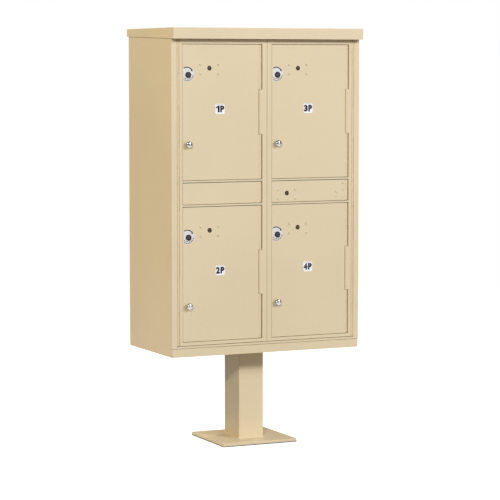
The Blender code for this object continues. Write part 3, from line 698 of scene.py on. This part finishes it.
def weld_bead(name, low, high, level, rising, body):
    """Fillet weld round the post: a rippled quarter round, closed on itself."""
    leg, step, pitch, inset = 0.0042, 0.0012, 0.0036, 0.0006
    ripple_share, wander_share, wander_rate, hollow_share = 0.07, 0.05, 91.0, 0.12
    path = walked(post_outline(low, high), step)
    rings = []
    travelled = 0.0
    for i, (x, y, out_x, out_y) in enumerate(path):
        if i:
            travelled += math.hypot(x - path[i - 1][0], y - path[i - 1][1])
        ripple = 1.0 + ripple_share * math.cos(2 * math.pi * travelled / pitch)
        wander = 1.0 + wander_share * math.sin(travelled * wander_rate)
        ring = [(x - out_x * inset, y - out_y * inset, level)]
        for k in range(6):
            angle = math.radians(90 * k / 5)
            reach = leg * ripple * wander * (1 - hollow_share * math.sin(2 * angle))
            out = reach * math.cos(angle) - inset
            ring.append((x + out_x * out, y + out_y * out, level + rising * reach * math.sin(angle)))
        rings.append(ring)
    piece(name, lofted(rings, closed_loop=True), finish["coat"], body)


# ---- doors ---------------------------------------------------------------------------------------
def make_knob(number):
    """Chrome pull knob with a waisted neck, and its washer and nut behind the door."""
    node = f"pull_knob_{number}"
    low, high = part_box(node)
    centre = front_centre(node)
    head = (high.x - low.x) / 2
    tip = low.y
    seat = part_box(f"parcel_door_{number}")[0].y - FIT_GAP
    neck = head * 0.50
    under = seat - 0.0080
    crown = head * 0.42
    rim_round, neck_round, foot_round = 0.0016, 0.0022, 0.0016
    stem, stem_end, chamfer = 0.0025, 0.0018, 0.0006
    profile = [(head * math.sin(math.radians(a)), tip + crown * (1 - math.cos(math.radians(a))))
               for a in range(4, 91, 8)]
    profile += arc((head - rim_round, under - rim_round), rim_round, 0, 80, 5)
    profile += arc((neck + neck_round, under + neck_round), neck_round, -95, -180, 5)
    profile += arc((neck + foot_round, seat - foot_round), foot_round, 180, 95, 4)
    profile += [(neck + foot_round, seat), (stem, seat), (stem, high.y - chamfer), (stem_end, high.y)]
    body = body_of(node)
    piece(f"{node}_turned", turned(centre, profile, 72), finish["chrome"], body, (node,))
    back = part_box(f"access_lock_body_{number}")[0].y - FIT_GAP
    washer_hole, washer_radius, washer_thickness = 0.0028, 0.0062, 0.0008
    nut_width, nut_hole, nut_thickness, nut_turn = 0.0080, 0.0026, 0.0018, 10.0
    nut = joined(washer(centre, washer_hole, washer_radius, back, washer_thickness),
                 hex_nut(centre, nut_width, back + washer_thickness, nut_thickness, nut_hole, nut_turn))
    piece(f"knob_nut_{number}", nut, finish["zinc"], body, weighted=True)


def make_customer_lock(number):
    """Cam lock: black bezel, threaded barrel and nut, keyed plug, and cam with its screw."""
    node = f"customer_lock_body_{number}"
    low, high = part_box(node)
    centre = front_centre(node)
    head = (high.x - low.x) / 2
    front = low.y
    seat = front + 0.0025
    barrel, bore = 0.0093, 0.0063
    pitch, thread_depth, tip = 0.0010, 0.0005, 0.0006
    profile = [(bore, front + 0.0007), (bore + 0.0004, front + 0.0002), (bore + 0.0010, front),
               (head - 0.0014, front), (head - 0.0006, front + 0.00018), (head - 0.00015, front + 0.0006),
               (head, front + 0.0011), (head, seat), (barrel, seat)]
    y = seat + pitch
    while y < high.y - 0.0014:
        profile += [(barrel, y), (barrel - thread_depth, y + pitch / 2)]
        y += pitch
    profile += [(barrel, high.y - tip), (barrel - thread_depth, high.y), (bore, high.y)]
    body = body_of(node)
    piece(f"{node}_turned", turned(centre, profile, 64, hollow=True), finish["black_nickel"], body,
          (node,), weighted=True)
    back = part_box(f"access_lock_body_{number}")[0].y - FIT_GAP
    nut_width, nut_thickness, nut_play, nut_turn = 0.0235, 0.0036, 0.0001, 8.0
    nut = hex_nut(centre, nut_width, back, nut_thickness, barrel + nut_play, nut_turn)
    piece(f"customer_lock_nut_{number}", nut, finish["zinc"], body, weighted=True)
    make_customer_plug(number, centre, bore)
    make_customer_cam(f"customer_lock_cam_{number}", number, centre)


def make_customer_cam(node, number, centre):
    """Cam plate, and the screw that holds it on the plug's tail, with a cross recess."""
    body = body_of(node)
    plate = eased(cad_shape(node), FINE_ROUND)
    piece(f"{node}_plate", plate, finish["zinc"], body, (node,), weighted=True)
    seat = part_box(node)[1].y
    washer_hole, washer_radius, washer_thickness = 0.0030, 0.0060, 0.0007
    head_radius, head_height = 0.0044, 0.0024
    screw = joined(washer(centre, washer_hole, washer_radius, seat, washer_thickness),
                   dome(centre, head_radius, head_height, seat + washer_thickness, facing=1, sides=40))
    made = piece(f"cam_screw_{number}", screw, finish["zinc"], body)
    cross_floor, cross_back, long_arm, short_arm = seat + 0.0016, seat + 0.0045, 0.0022, 0.0004
    for wide, tall in ((long_arm, short_arm), (short_arm, long_arm)):
        notched(made, centre, wide, wide, tall, tall, cross_floor, cross_back)


def make_customer_plug(number, centre, bore):
    """Plug with its key slot and ward, and its square tail."""
    node = f"customer_lock_plug_{number}"
    low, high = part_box(node)
    radius = bore - FIT_GAP
    body_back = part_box(f"customer_lock_body_{number}")[1].y
    profile = [(AXIS_RADIUS, low.y + 0.0003), (0.0030, low.y + 0.0003), (0.0040, low.y),
               (radius - 0.0008, low.y), (radius - 0.0002, low.y + 0.0002), (radius, low.y + 0.0007),
               (radius, body_back), (AXIS_RADIUS, body_back)]
    made = piece(f"{node}_turned", turned(centre, profile, 56), finish["satin_nickel"], body_of(node),
                 (node,))
    front = low.y - CUT_MARGIN
    notched(made, centre, 0.0007, 0.0007, 0.0039, 0.0039, front, low.y + 0.0045)
    notched(made, centre, 0.0015, 0.0003, 0.0016, 0.0004, front, low.y + 0.0040)
    tail = square_tail(centre, body_back - CUT_MARGIN, high.y)
    piece(f"customer_lock_tail_{number}", tail, finish["zinc"], body_of(node))


def square_tail(centre, front, back):
    """Square end of a plug, on which its cam sits."""
    return eased(block((centre[0] - TAIL_HALF, front, centre[1] - TAIL_HALF),
                       (centre[0] + TAIL_HALF, back, centre[1] + TAIL_HALF)), TAIL_ROUND)


def lock_case(node, tag, centre, drop):
    """Cast case of a carrier's lock with a lid seam, and its four studs with nuts."""
    low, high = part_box(node)
    body = body_of(node)
    shape = eased(cad_shape(node), 0.0011, 3)
    piece(f"{node}_case", shape, finish["cast"], body, (node,), weighted=True)
    rim, lid, plug_hole = 0.0030, 0.0006, 0.0075
    cover = eased(block((low.x + rim, high.y - FIT_GAP, low.z + rim),
                        (high.x - rim, high.y + lid, high.z - rim)), FINE_ROUND)
    cover_piece = piece(f"{node}_lid", cover, finish["zinc"], body, weighted=True)
    carved(cover_piece, turned(centre, ((plug_hole, high.y - 0.002), (plug_hole, high.y + 0.004)), 40))
    for i, place in enumerate(stud_places(centre, drop)):
        stud_with_nut(f"{tag}_stud_{i + 1}", place, high.y + lid, body)


def lock_core(node, centre):
    """Plug of a carrier's lock: a keyed face and a shank behind it."""
    low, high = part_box(node)
    radius, face_back = CARRIER_PLUG_RADIUS, low.y + 0.0090
    face = [(AXIS_RADIUS, low.y - 0.0001), (radius - 0.0016, low.y - 0.0001),
            (radius - 0.0012, low.y + 0.0002), (radius - 0.0008, low.y), (radius - 0.0002, low.y + 0.0003),
            (radius, low.y + 0.0009), (radius, face_back), (AXIS_RADIUS, face_back)]
    body = body_of(node)
    made = piece(f"{node}_face", turned(centre, face, 56), finish["brass"], body, (node,))
    front, key_floor = low.y - CUT_MARGIN, low.y + 0.0050
    notched(made, centre, 0.0008, 0.0008, 0.0036, 0.0036, front, key_floor)
    notched(made, centre, 0.0004, 0.0017, 0.0012, 0.0006, front, key_floor)
    rest = turned(centre, ((radius, low.y + 0.0092), (radius, high.y - 0.0030),
                           (radius - 0.0004, high.y - 0.0026)), 56)
    piece(f"{node}_shank", rest, finish["brass"], body)
    return low, high, body


def make_access_lock(number):
    """Carrier's lock behind a door: case, studs, keyed plug and bolt finger."""
    plug = f"access_lock_plug_{number}"
    centre = (middle(plug).x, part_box(plug)[1].z - CARRIER_PLUG_RADIUS)
    lock_case(f"access_lock_body_{number}", f"access_lock_{number}", centre, STUD_DROP)
    low, high, body = lock_core(plug, centre)
    tip_half, root_half, thickness = 0.0030, 0.0042, 0.0025
    finger = [(centre[0] + tip_half, low.z), (centre[0] + root_half, centre[1])]
    finger += arc(centre, root_half, 0, 180, 12)[1:]
    finger += [(centre[0] - tip_half, low.z)]
    bolt = eased(prism(finger, high.y - thickness, high.y, "Y"), FINE_ROUND)
    piece(f"access_lock_finger_{number}", bolt, finish["zinc"], body, weighted=True)
    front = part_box(f"parcel_door_{number}")[0].y
    for i, place in enumerate(stud_places(centre, STUD_DROP)):
        stud_mark(f"door_stud_{number}_{i + 1}", place, front, body_of(f"parcel_door_{number}"))


def make_master_lock():
    """Carrier's master lock: case, studs, plug, tail and cam, and the marks on its filler panel."""
    plug = middle("master_lock_plug")
    centre = (plug.x, plug.z)
    lock_case("master_lock_body", "master_lock", centre, MASTER_STUD_DROP)
    high, body = lock_core("master_lock_plug", centre)[1:]
    tail = square_tail(centre, high.y - 0.0050, high.y)
    piece("master_lock_tail", tail, finish["zinc"], body)
    cam = eased(cad_shape("master_lock_cam"), FINE_ROUND)
    piece("master_lock_cam_plate", cam, finish["zinc"], body, ("master_lock_cam",),
          weighted=True)
    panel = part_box("right_filler_panel")[0]
    panel_body = body_of("right_filler_panel")
    for i, place in enumerate(stud_places(centre, MASTER_STUD_DROP)):
        stud_mark(f"filler_stud_{i + 1}", place, panel.y, panel_body)
    opening_x = panel.x - DOOR_GAP
    for i, (across, rise) in enumerate(FILLER_RIVETS):
        place = (opening_x + across, panel.z + rise)
        stud_mark(f"filler_rivet_{i + 1}", place, panel.y, panel_body, RIVET_RADIUS)


def make_latch():
    shape = eased(cad_shape("left_master_latch"), 0.0005)
    piece("left_master_latch_arm", shape, finish["zinc"], body_of("left_master_latch"),
          ("left_master_latch",), weighted=True)


def make_label(number):
    """Rounded white plate with the compartment's number in black, and a thin dark line along its top edge
    that is painted shade.
    """
    node = f"number_label_{number}"
    low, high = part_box(node)
    centre = front_centre(node)
    shape = eased(cad_shape(node), 0.0002)
    body = body_of(node)
    piece(f"{node}_plate", shape, finish["vinyl"], body, (node,), weighted=True)
    lettering(f"label_figure_{number}", number, centre, low.y, body)
    # thin dark band just under the plate's top edge: painted shade
    shade_line_inset, shade_line_low, shade_line_high = 0.0040, high.z - 0.0026, high.z - 0.0018
    shade_line = block((low.x + shade_line_inset, low.y - PRINT_THICKNESS, shade_line_low),
                 (high.x - shade_line_inset, low.y - PRINT_GAP, shade_line_high))
    piece(f"label_top_shade_line_{number}", shade_line, finish["print_and_shade_grey"], body)


def font_figure(text):
    """Bold figure from the built-in font, as a slab between heights -0.5 and 0.5."""
    curve = bpy.data.curves.new("figure", "FONT")
    curve.body = text
    curve.offset = FIGURE_BOLDNESS
    curve.extrude = 0.5
    curve.resolution_u = 6
    holder = bpy.data.objects.new("figure", curve)
    bpy.context.scene.collection.objects.link(holder)
    graph = bpy.context.evaluated_depsgraph_get()
    mesh = bpy.data.meshes.new_from_object(holder.evaluated_get(graph))
    bpy.data.objects.remove(holder)
    shape = bmesh.new()
    shape.from_mesh(mesh)
    bpy.data.meshes.remove(mesh)
    bmesh.ops.remove_doubles(shape, verts=shape.verts, dist=0.0001)
    return shape


def figure_one():
    """The figure 1 with its flag, drawn as one outline like the font's slabs."""
    outline = ((0.44, 0.0), (0.90, 0.0), (0.90, 1.0), (0.58, 1.0), (0.0, 0.76), (0.0, 0.56), (0.44, 0.70))
    return prism(outline, -0.5, 0.5)


def lettering(name, number, centre, front, body):
    """The compartment's number and a P, as a thin print stretched to the plate."""
    tall = 0.0250
    cells = ((figure_one() if number == 1 else font_figure(str(number)), -0.0170, -0.0012),
             (font_figure("P"), 0.0012, 0.0172))
    for shape, left, right in cells:
        xs = [v.co.x for v in shape.verts]
        ys = [v.co.y for v in shape.verts]
        for vertex in shape.verts:
            across = (vertex.co.x - min(xs)) / (max(xs) - min(xs))
            rise = (vertex.co.y - min(ys)) / (max(ys) - min(ys)) - 0.5
            y = front - FIT_GAP * 0.1 - PRINT_THICKNESS * (0.5 + vertex.co.z)
            vertex.co = (centre[0] + left + across * (right - left), y, centre[1] + rise * tall)
        bmesh.ops.recalc_face_normals(shape, faces=shape.faces)
    piece(name, join(cells[0][0], cells[1][0]), finish["ink"], body)


def make_lock_decal(number):
    """Printed decal behind a customer lock: a disc cut straight on its left, a curved arrow and ticks."""
    lock = middle(f"customer_lock_body_{number}")
    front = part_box(f"parcel_door_{number}")[0].y
    body = body_of(f"parcel_door_{number}")
    centre = (lock.x - 0.0040, lock.z + 0.0030)
    radius, cut, hole_radius, hole_reach = 0.0275, 0.0150, 0.0098, 0.002
    angle = math.degrees(math.acos(-cut / radius))
    outline = arc(centre, radius, -angle, angle, 64)
    hole = ring_points((lock.x, lock.z), hole_radius, 48)
    disc = prism(outline, front - PRINT_THICKNESS, front - PRINT_GAP, "Y")
    made = piece(f"lock_decal_{number}", disc, finish["decal"], body)
    carved(made, prism(hole, front - hole_reach, front + hole_reach, "Y"))
    ink_back = front - PRINT_THICKNESS - PRINT_GAP
    marks = decal_marks(centre, ink_back - INK_THICKNESS, ink_back)
    piece(f"lock_decal_print_{number}", marks, finish["print_and_shade_grey"], body)


def decal_marks(centre, ink_front, ink_back):
    """A curved arrow over the lock, and two rows of dashes below it."""
    turn = (centre[0] - 0.0010, centre[1] + 0.0010)
    marks = band(turn, 0.0222, 0.0258, 36, 122, ink_front, ink_back, 24)
    head = [(turn[0] + r * math.cos(math.radians(a)), turn[1] + r * math.sin(math.radians(a)))
            for r, a in ((0.0196, 40), (0.0280, 40), (0.0240, 18))]
    join(marks, prism(head, ink_front, ink_back, "Y"))
    outer_row = (0.0228, 0.0256, range(236, 340, 17), 12)
    inner_row = (0.0172, 0.0196, range(222, 330, 22), 14)
    for inner, outer, starts, length in (outer_row, inner_row):
        for start in starts:
            join(marks, band(centre, inner, outer, start, start + length, ink_front, ink_back, 4))
    return marks


def band(centre, inner, outer, start, end, low, high, steps):
    outline = arc(centre, outer, start, end, steps) + arc(centre, inner, end, start, steps)
    return prism(outline, low, high, "Y")


def make_seal(name, node, body):
    """Foam strip on the frame's lip round an opening: bottom, left side and top."""
    low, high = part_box(node)
    left = low.x - DOOR_GAP
    bottom = low.z - DOOR_END_GAP
    top = high.z + DOOR_END_GAP
    back = low.y + LIP_SETBACK
    thickness, near, far = 0.0011, 0.0024, 0.0056
    front = back - thickness
    right = high.x - 2 * FILLER_KNUCKLE
    strips = (((left + near, bottom + near), (right, bottom + far)),
              ((left + near, bottom + far), (left + far, top - far)),
              ((left + near, top - far), (right, top - near)))
    whole = bmesh.new()
    for (x0, z0), (x1, z1) in strips:
        join(whole, eased(block((x0, front, z0), (x1, back, z1)), FINE_ROUND, 3))
    piece(name, whole, finish["foam"], body, weighted=True)


def make_gasket(name, node, body):
    """Black foam strip under the head of an opening, in the gap above its door: a dark strip put there as
    painted shade in the gap.
    """
    low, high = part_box(node)
    top = high.z + DOOR_END_GAP
    side_inset, front_inset, back_inset, easing = 0.0010, 0.0005, 0.0050, 0.0003
    strip = block((low.x + side_inset, low.y + front_inset, top - GAP_SHADE_STRIP_HEIGHT),
                  (high.x - 2 * FILLER_KNUCKLE, low.y + back_inset, top + FIT_GAP / 3))
    piece(name, eased(strip, easing, 3), finish["foam"], body, weighted=True)


def make_doors():
    for number in NUMBERS:
        make_knob(number)
        make_customer_lock(number)
        make_access_lock(number)
        make_label(number)
        make_lock_decal(number)
        door, pin = f"parcel_door_{number}", f"door_hinge_pin_{number}"
        make_pin(pin)
        make_seal(f"door_seal_{number}", door, body_of(pin))
        make_gasket(f"door_gap_shade_strip_{number}", door, body_of(pin))
    for side in ("left", "right"):
        filler = f"{side}_filler_panel"
        make_gasket(f"{side}_filler_gap_shade_strip", filler, body_of(filler))


def make_pin(node):
    """Hinge pin with rounded ends."""
    low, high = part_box(node)
    centre = ((low.x + high.x) / 2, (low.y + high.y) / 2)
    radius = (high.x - low.x) / 2
    profile = [(radius * 0.6, low.z), (radius, low.z + radius * 0.4), (radius, high.z - radius * 0.4),
               (radius * 0.6, high.z)]
    shape = turned(centre, profile, 24, axis="Z")
    piece(f"{node}_rod", shape, finish["zinc"], body_of(node), (node,))


def make_hinge_leaves():
    """Rolled leaves of the two piano hinges, which close the grooves beside their knuckles."""
    set_back, easing = 0.0006, 0.0002
    for side, sign in (("left", -1), ("right", 1)):
        axis = middle(f"{side}_master_pin")
        low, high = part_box(f"{side}_master_frame")
        frame_edge = abs(axis.x) - HINGE_REACH
        panel_edge = abs(axis.x) + HINGE_REACH
        for owner, near, far in ((f"{side}_master_frame", frame_edge - FIT_GAP, frame_edge + LEAF_WIDTH),
                                 (f"{side}_side_panel", panel_edge - LEAF_WIDTH, panel_edge + FIT_GAP)):
            xs = sorted((sign * near, sign * far))
            strip = eased(block((xs[0], low.y + set_back, low.z), (xs[1], axis.y, high.z)), easing)
            piece(f"{owner}_hinge_leaf", strip, finish["coat"], body_of(owner))


# ---- joints between the cabinet and its pedestal -------------------------------------------------
def floor_bolt(centre, top, foot):
    """Bolt from above the floor's top to below the plate's foot: head, two washers, nut and end."""
    width, head_height, nut_height, washer_height = 0.0140, 0.0050, 0.0060, 0.0016
    shank, tip, proud, chamfer, into_floor = 0.0046, 0.0038, 0.0125, 0.0010, 0.0030
    shape = upright(hex_head(centre, width, head_height), top + washer_height)
    join(shape, upright(flat_ring(centre, 0.0050, 0.0105, washer_height), top))
    join(shape, upright(flat_ring(centre, 0.0046, 0.0095, washer_height), foot - washer_height))
    join(shape, upright(hex_head(centre, width, nut_height), foot - washer_height - nut_height))
    profile = ((tip, foot - proud), (shank, foot - proud + chamfer), (shank, top + into_floor))
    return join(shape, turned(centre, profile, 32, axis="Z"))


def make_floor_bolts():
    """Four bolts through the cabinet's floor and the pedestal's top plate."""
    low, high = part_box("pedestal_top_plate")
    floor_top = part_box("floor_pan")[1].z
    inset = 0.0250
    number = 0
    for x in (low.x + inset, high.x - inset):
        for y in (low.y + inset, high.y - inset):
            number += 1
            piece(f"floor_bolt_{number}", floor_bolt((x, y), floor_top, low.z), finish["zinc"],
                  body_of("floor_pan"), weighted=True)


def hex_head(centre, across, thickness):
    """Six-sided head along Z from height 0, with its top corners chamfered."""
    radius = across / math.sqrt(3)
    rings = []
    for z, share in ((0.0, 1.0), (thickness * 0.8, 1.0), (thickness, 0.88)):
        rings.append([(x, y, z) for x, y in ring_points(centre, radius * share, 6, 12.0)])
    return lofted(rings)


def flat_ring(centre, inner, outer, thickness):
    profile = ((inner, 0.0), (outer, 0.0), (outer, thickness * 0.8), (outer - 0.0003, thickness),
               (inner, thickness))
    return turned(centre, profile, 40, hollow=True, axis="Z")


def upright(shape, lift_by):
    bmesh.ops.translate(shape, verts=shape.verts, vec=Vector((0, 0, lift_by)))
    return shape


def make_back_rivets():
    """Pop rivets that hold the back panel to the side walls and the top and floor lips."""
    low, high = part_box("back_panel")
    inset, pitch, bottom_margin, top_margin = 0.0120, 0.1750, 0.0300, 0.0450
    head_radius, head_height, core_radius, core_height = 0.0036, 0.0011, 0.0012, 0.0003
    heights = spread_between(low.z + bottom_margin, high.z - top_margin, pitch)
    number = 0
    for x in (low.x + inset, high.x - inset):
        for z in heights:
            number += 1
            shape = dome((x, z), head_radius, head_height, high.y, facing=1)
            join(shape, dome((x, z), core_radius, core_height, high.y + 0.0010, facing=1, sides=20))
            piece(f"back_rivet_{number}", shape, finish["coat"], body_of("back_panel"))


def spread_between(start, end, pitch):
    count = max(1, round((end - start) / pitch))
    return [start + (end - start) * i / count for i in range(count + 1)]


# ---- stage ---------------------------------------------------------------------------------------
def make_lights():
    for name, azimuth, elevation, distance, size, power, colour in LIGHTS:
        data = bpy.data.lights.new(name, "AREA")
        data.shape = "DISK"
        data.size = size
        data.energy = power
        data.color = colour
        lamp = bpy.data.objects.new(f"light_{name}", data)
        bpy.context.scene.collection.objects.link(lamp)
        a, e = math.radians(azimuth), math.radians(elevation)
        away = Vector((math.sin(a) * math.cos(e), -math.cos(a) * math.cos(e), math.sin(e)))
        lamp.location = LIGHT_AIM + away * distance
        lamp.rotation_euler = (-away).to_track_quat("-Z", "Y").to_euler()


def make_world():
    """Even studio light, with a white background behind the object."""
    world = bpy.data.worlds.new("studio")
    bpy.context.scene.world = world
    world.use_nodes = True
    tree = world.node_tree
    sky = tree.nodes["Background"]
    sky.inputs["Color"].default_value = (*WORLD_COLOUR, 1.0)
    sky.inputs["Strength"].default_value = WORLD_LIGHT
    white = tree.nodes.new("ShaderNodeBackground")
    white.inputs["Color"].default_value = (1.0, 1.0, 1.0, 1.0)
    white.inputs["Strength"].default_value = 1.0
    choose = tree.nodes.new("ShaderNodeMixShader")
    ray = tree.nodes.new("ShaderNodeLightPath")
    tree.links.new(ray.outputs["Is Camera Ray"], choose.inputs["Fac"])
    tree.links.new(sky.outputs["Background"], choose.inputs[1])
    tree.links.new(white.outputs["Background"], choose.inputs[2])
    tree.links.new(choose.outputs["Shader"], tree.nodes["World Output"].inputs["Surface"])
    bpy.context.scene.view_settings.view_transform = "Standard"


def make_floor():
    shape = bmesh.new()
    bmesh.ops.create_circle(shape, cap_ends=True, radius=FLOOR_RADIUS, segments=96)
    mesh = bpy.data.meshes.new("floor")
    shape.to_mesh(mesh)
    shape.free()
    mesh.materials.append(floor_paint())
    floor = bpy.data.objects.new("floor", mesh)
    bpy.context.scene.collection.objects.link(floor)
    floor.location = (0, 0, cad_bounds[0].z - 0.0005)
    floor.visible_diffuse = False


def make_camera():
    data = bpy.data.cameras.new("camera")
    data.sensor_width = SENSOR_WIDTH
    data.lens = CAMERA_LENS
    data.clip_end = 100.0
    camera = bpy.data.objects.new("camera", data)
    bpy.context.scene.collection.objects.link(camera)
    camera.location = CAMERA_PLACE
    camera.rotation_euler = (math.radians(90 - CAMERA_PITCH), 0, math.radians(-CAMERA_YAW))
    bpy.context.scene.camera = camera


make_camera()
make_world()
make_lights()
make_floor()

finish = {
    "coat": powder_coat(),
    "zinc": plated("bright_zinc", (0.62, 0.62, 0.63), 0.38, 0.26, 0.10),
    "chrome": plated("polished_chrome", (0.47, 0.45, 0.46), 0.26, 0.16, 0.05),
    "black_nickel": plated("black_nickel", (0.030, 0.028, 0.029), 0.50, 0.38, 0.12),
    "satin_nickel": plated("satin_nickel", (0.080, 0.074, 0.072), 0.52, 0.40, 0.12),
    "brass": plated("worn_brass", (0.110, 0.078, 0.048), 0.50, 0.36, 0.20),
    "cast": cast_metal(),
    "vinyl": printed("white_vinyl", (0.93, 0.93, 0.92), 0.36),
    "decal": printed("silver_white_decal", (0.76, 0.73, 0.68), 0.42),
    "ink": printed("black_ink", (0.004, 0.004, 0.005), 0.60),
    "print_and_shade_grey": printed("dark_grey_print_and_shade", (0.008, 0.007, 0.008), 0.60),
    "foam": foam_rubber(),
}

make_cabinet()
make_pedestal()
make_doors()
make_master_lock()
make_latch()
for side in ("left", "right"):
    make_pin(f"{side}_master_pin")
make_hinge_leaves()
make_floor_bolts()
make_back_rivets()
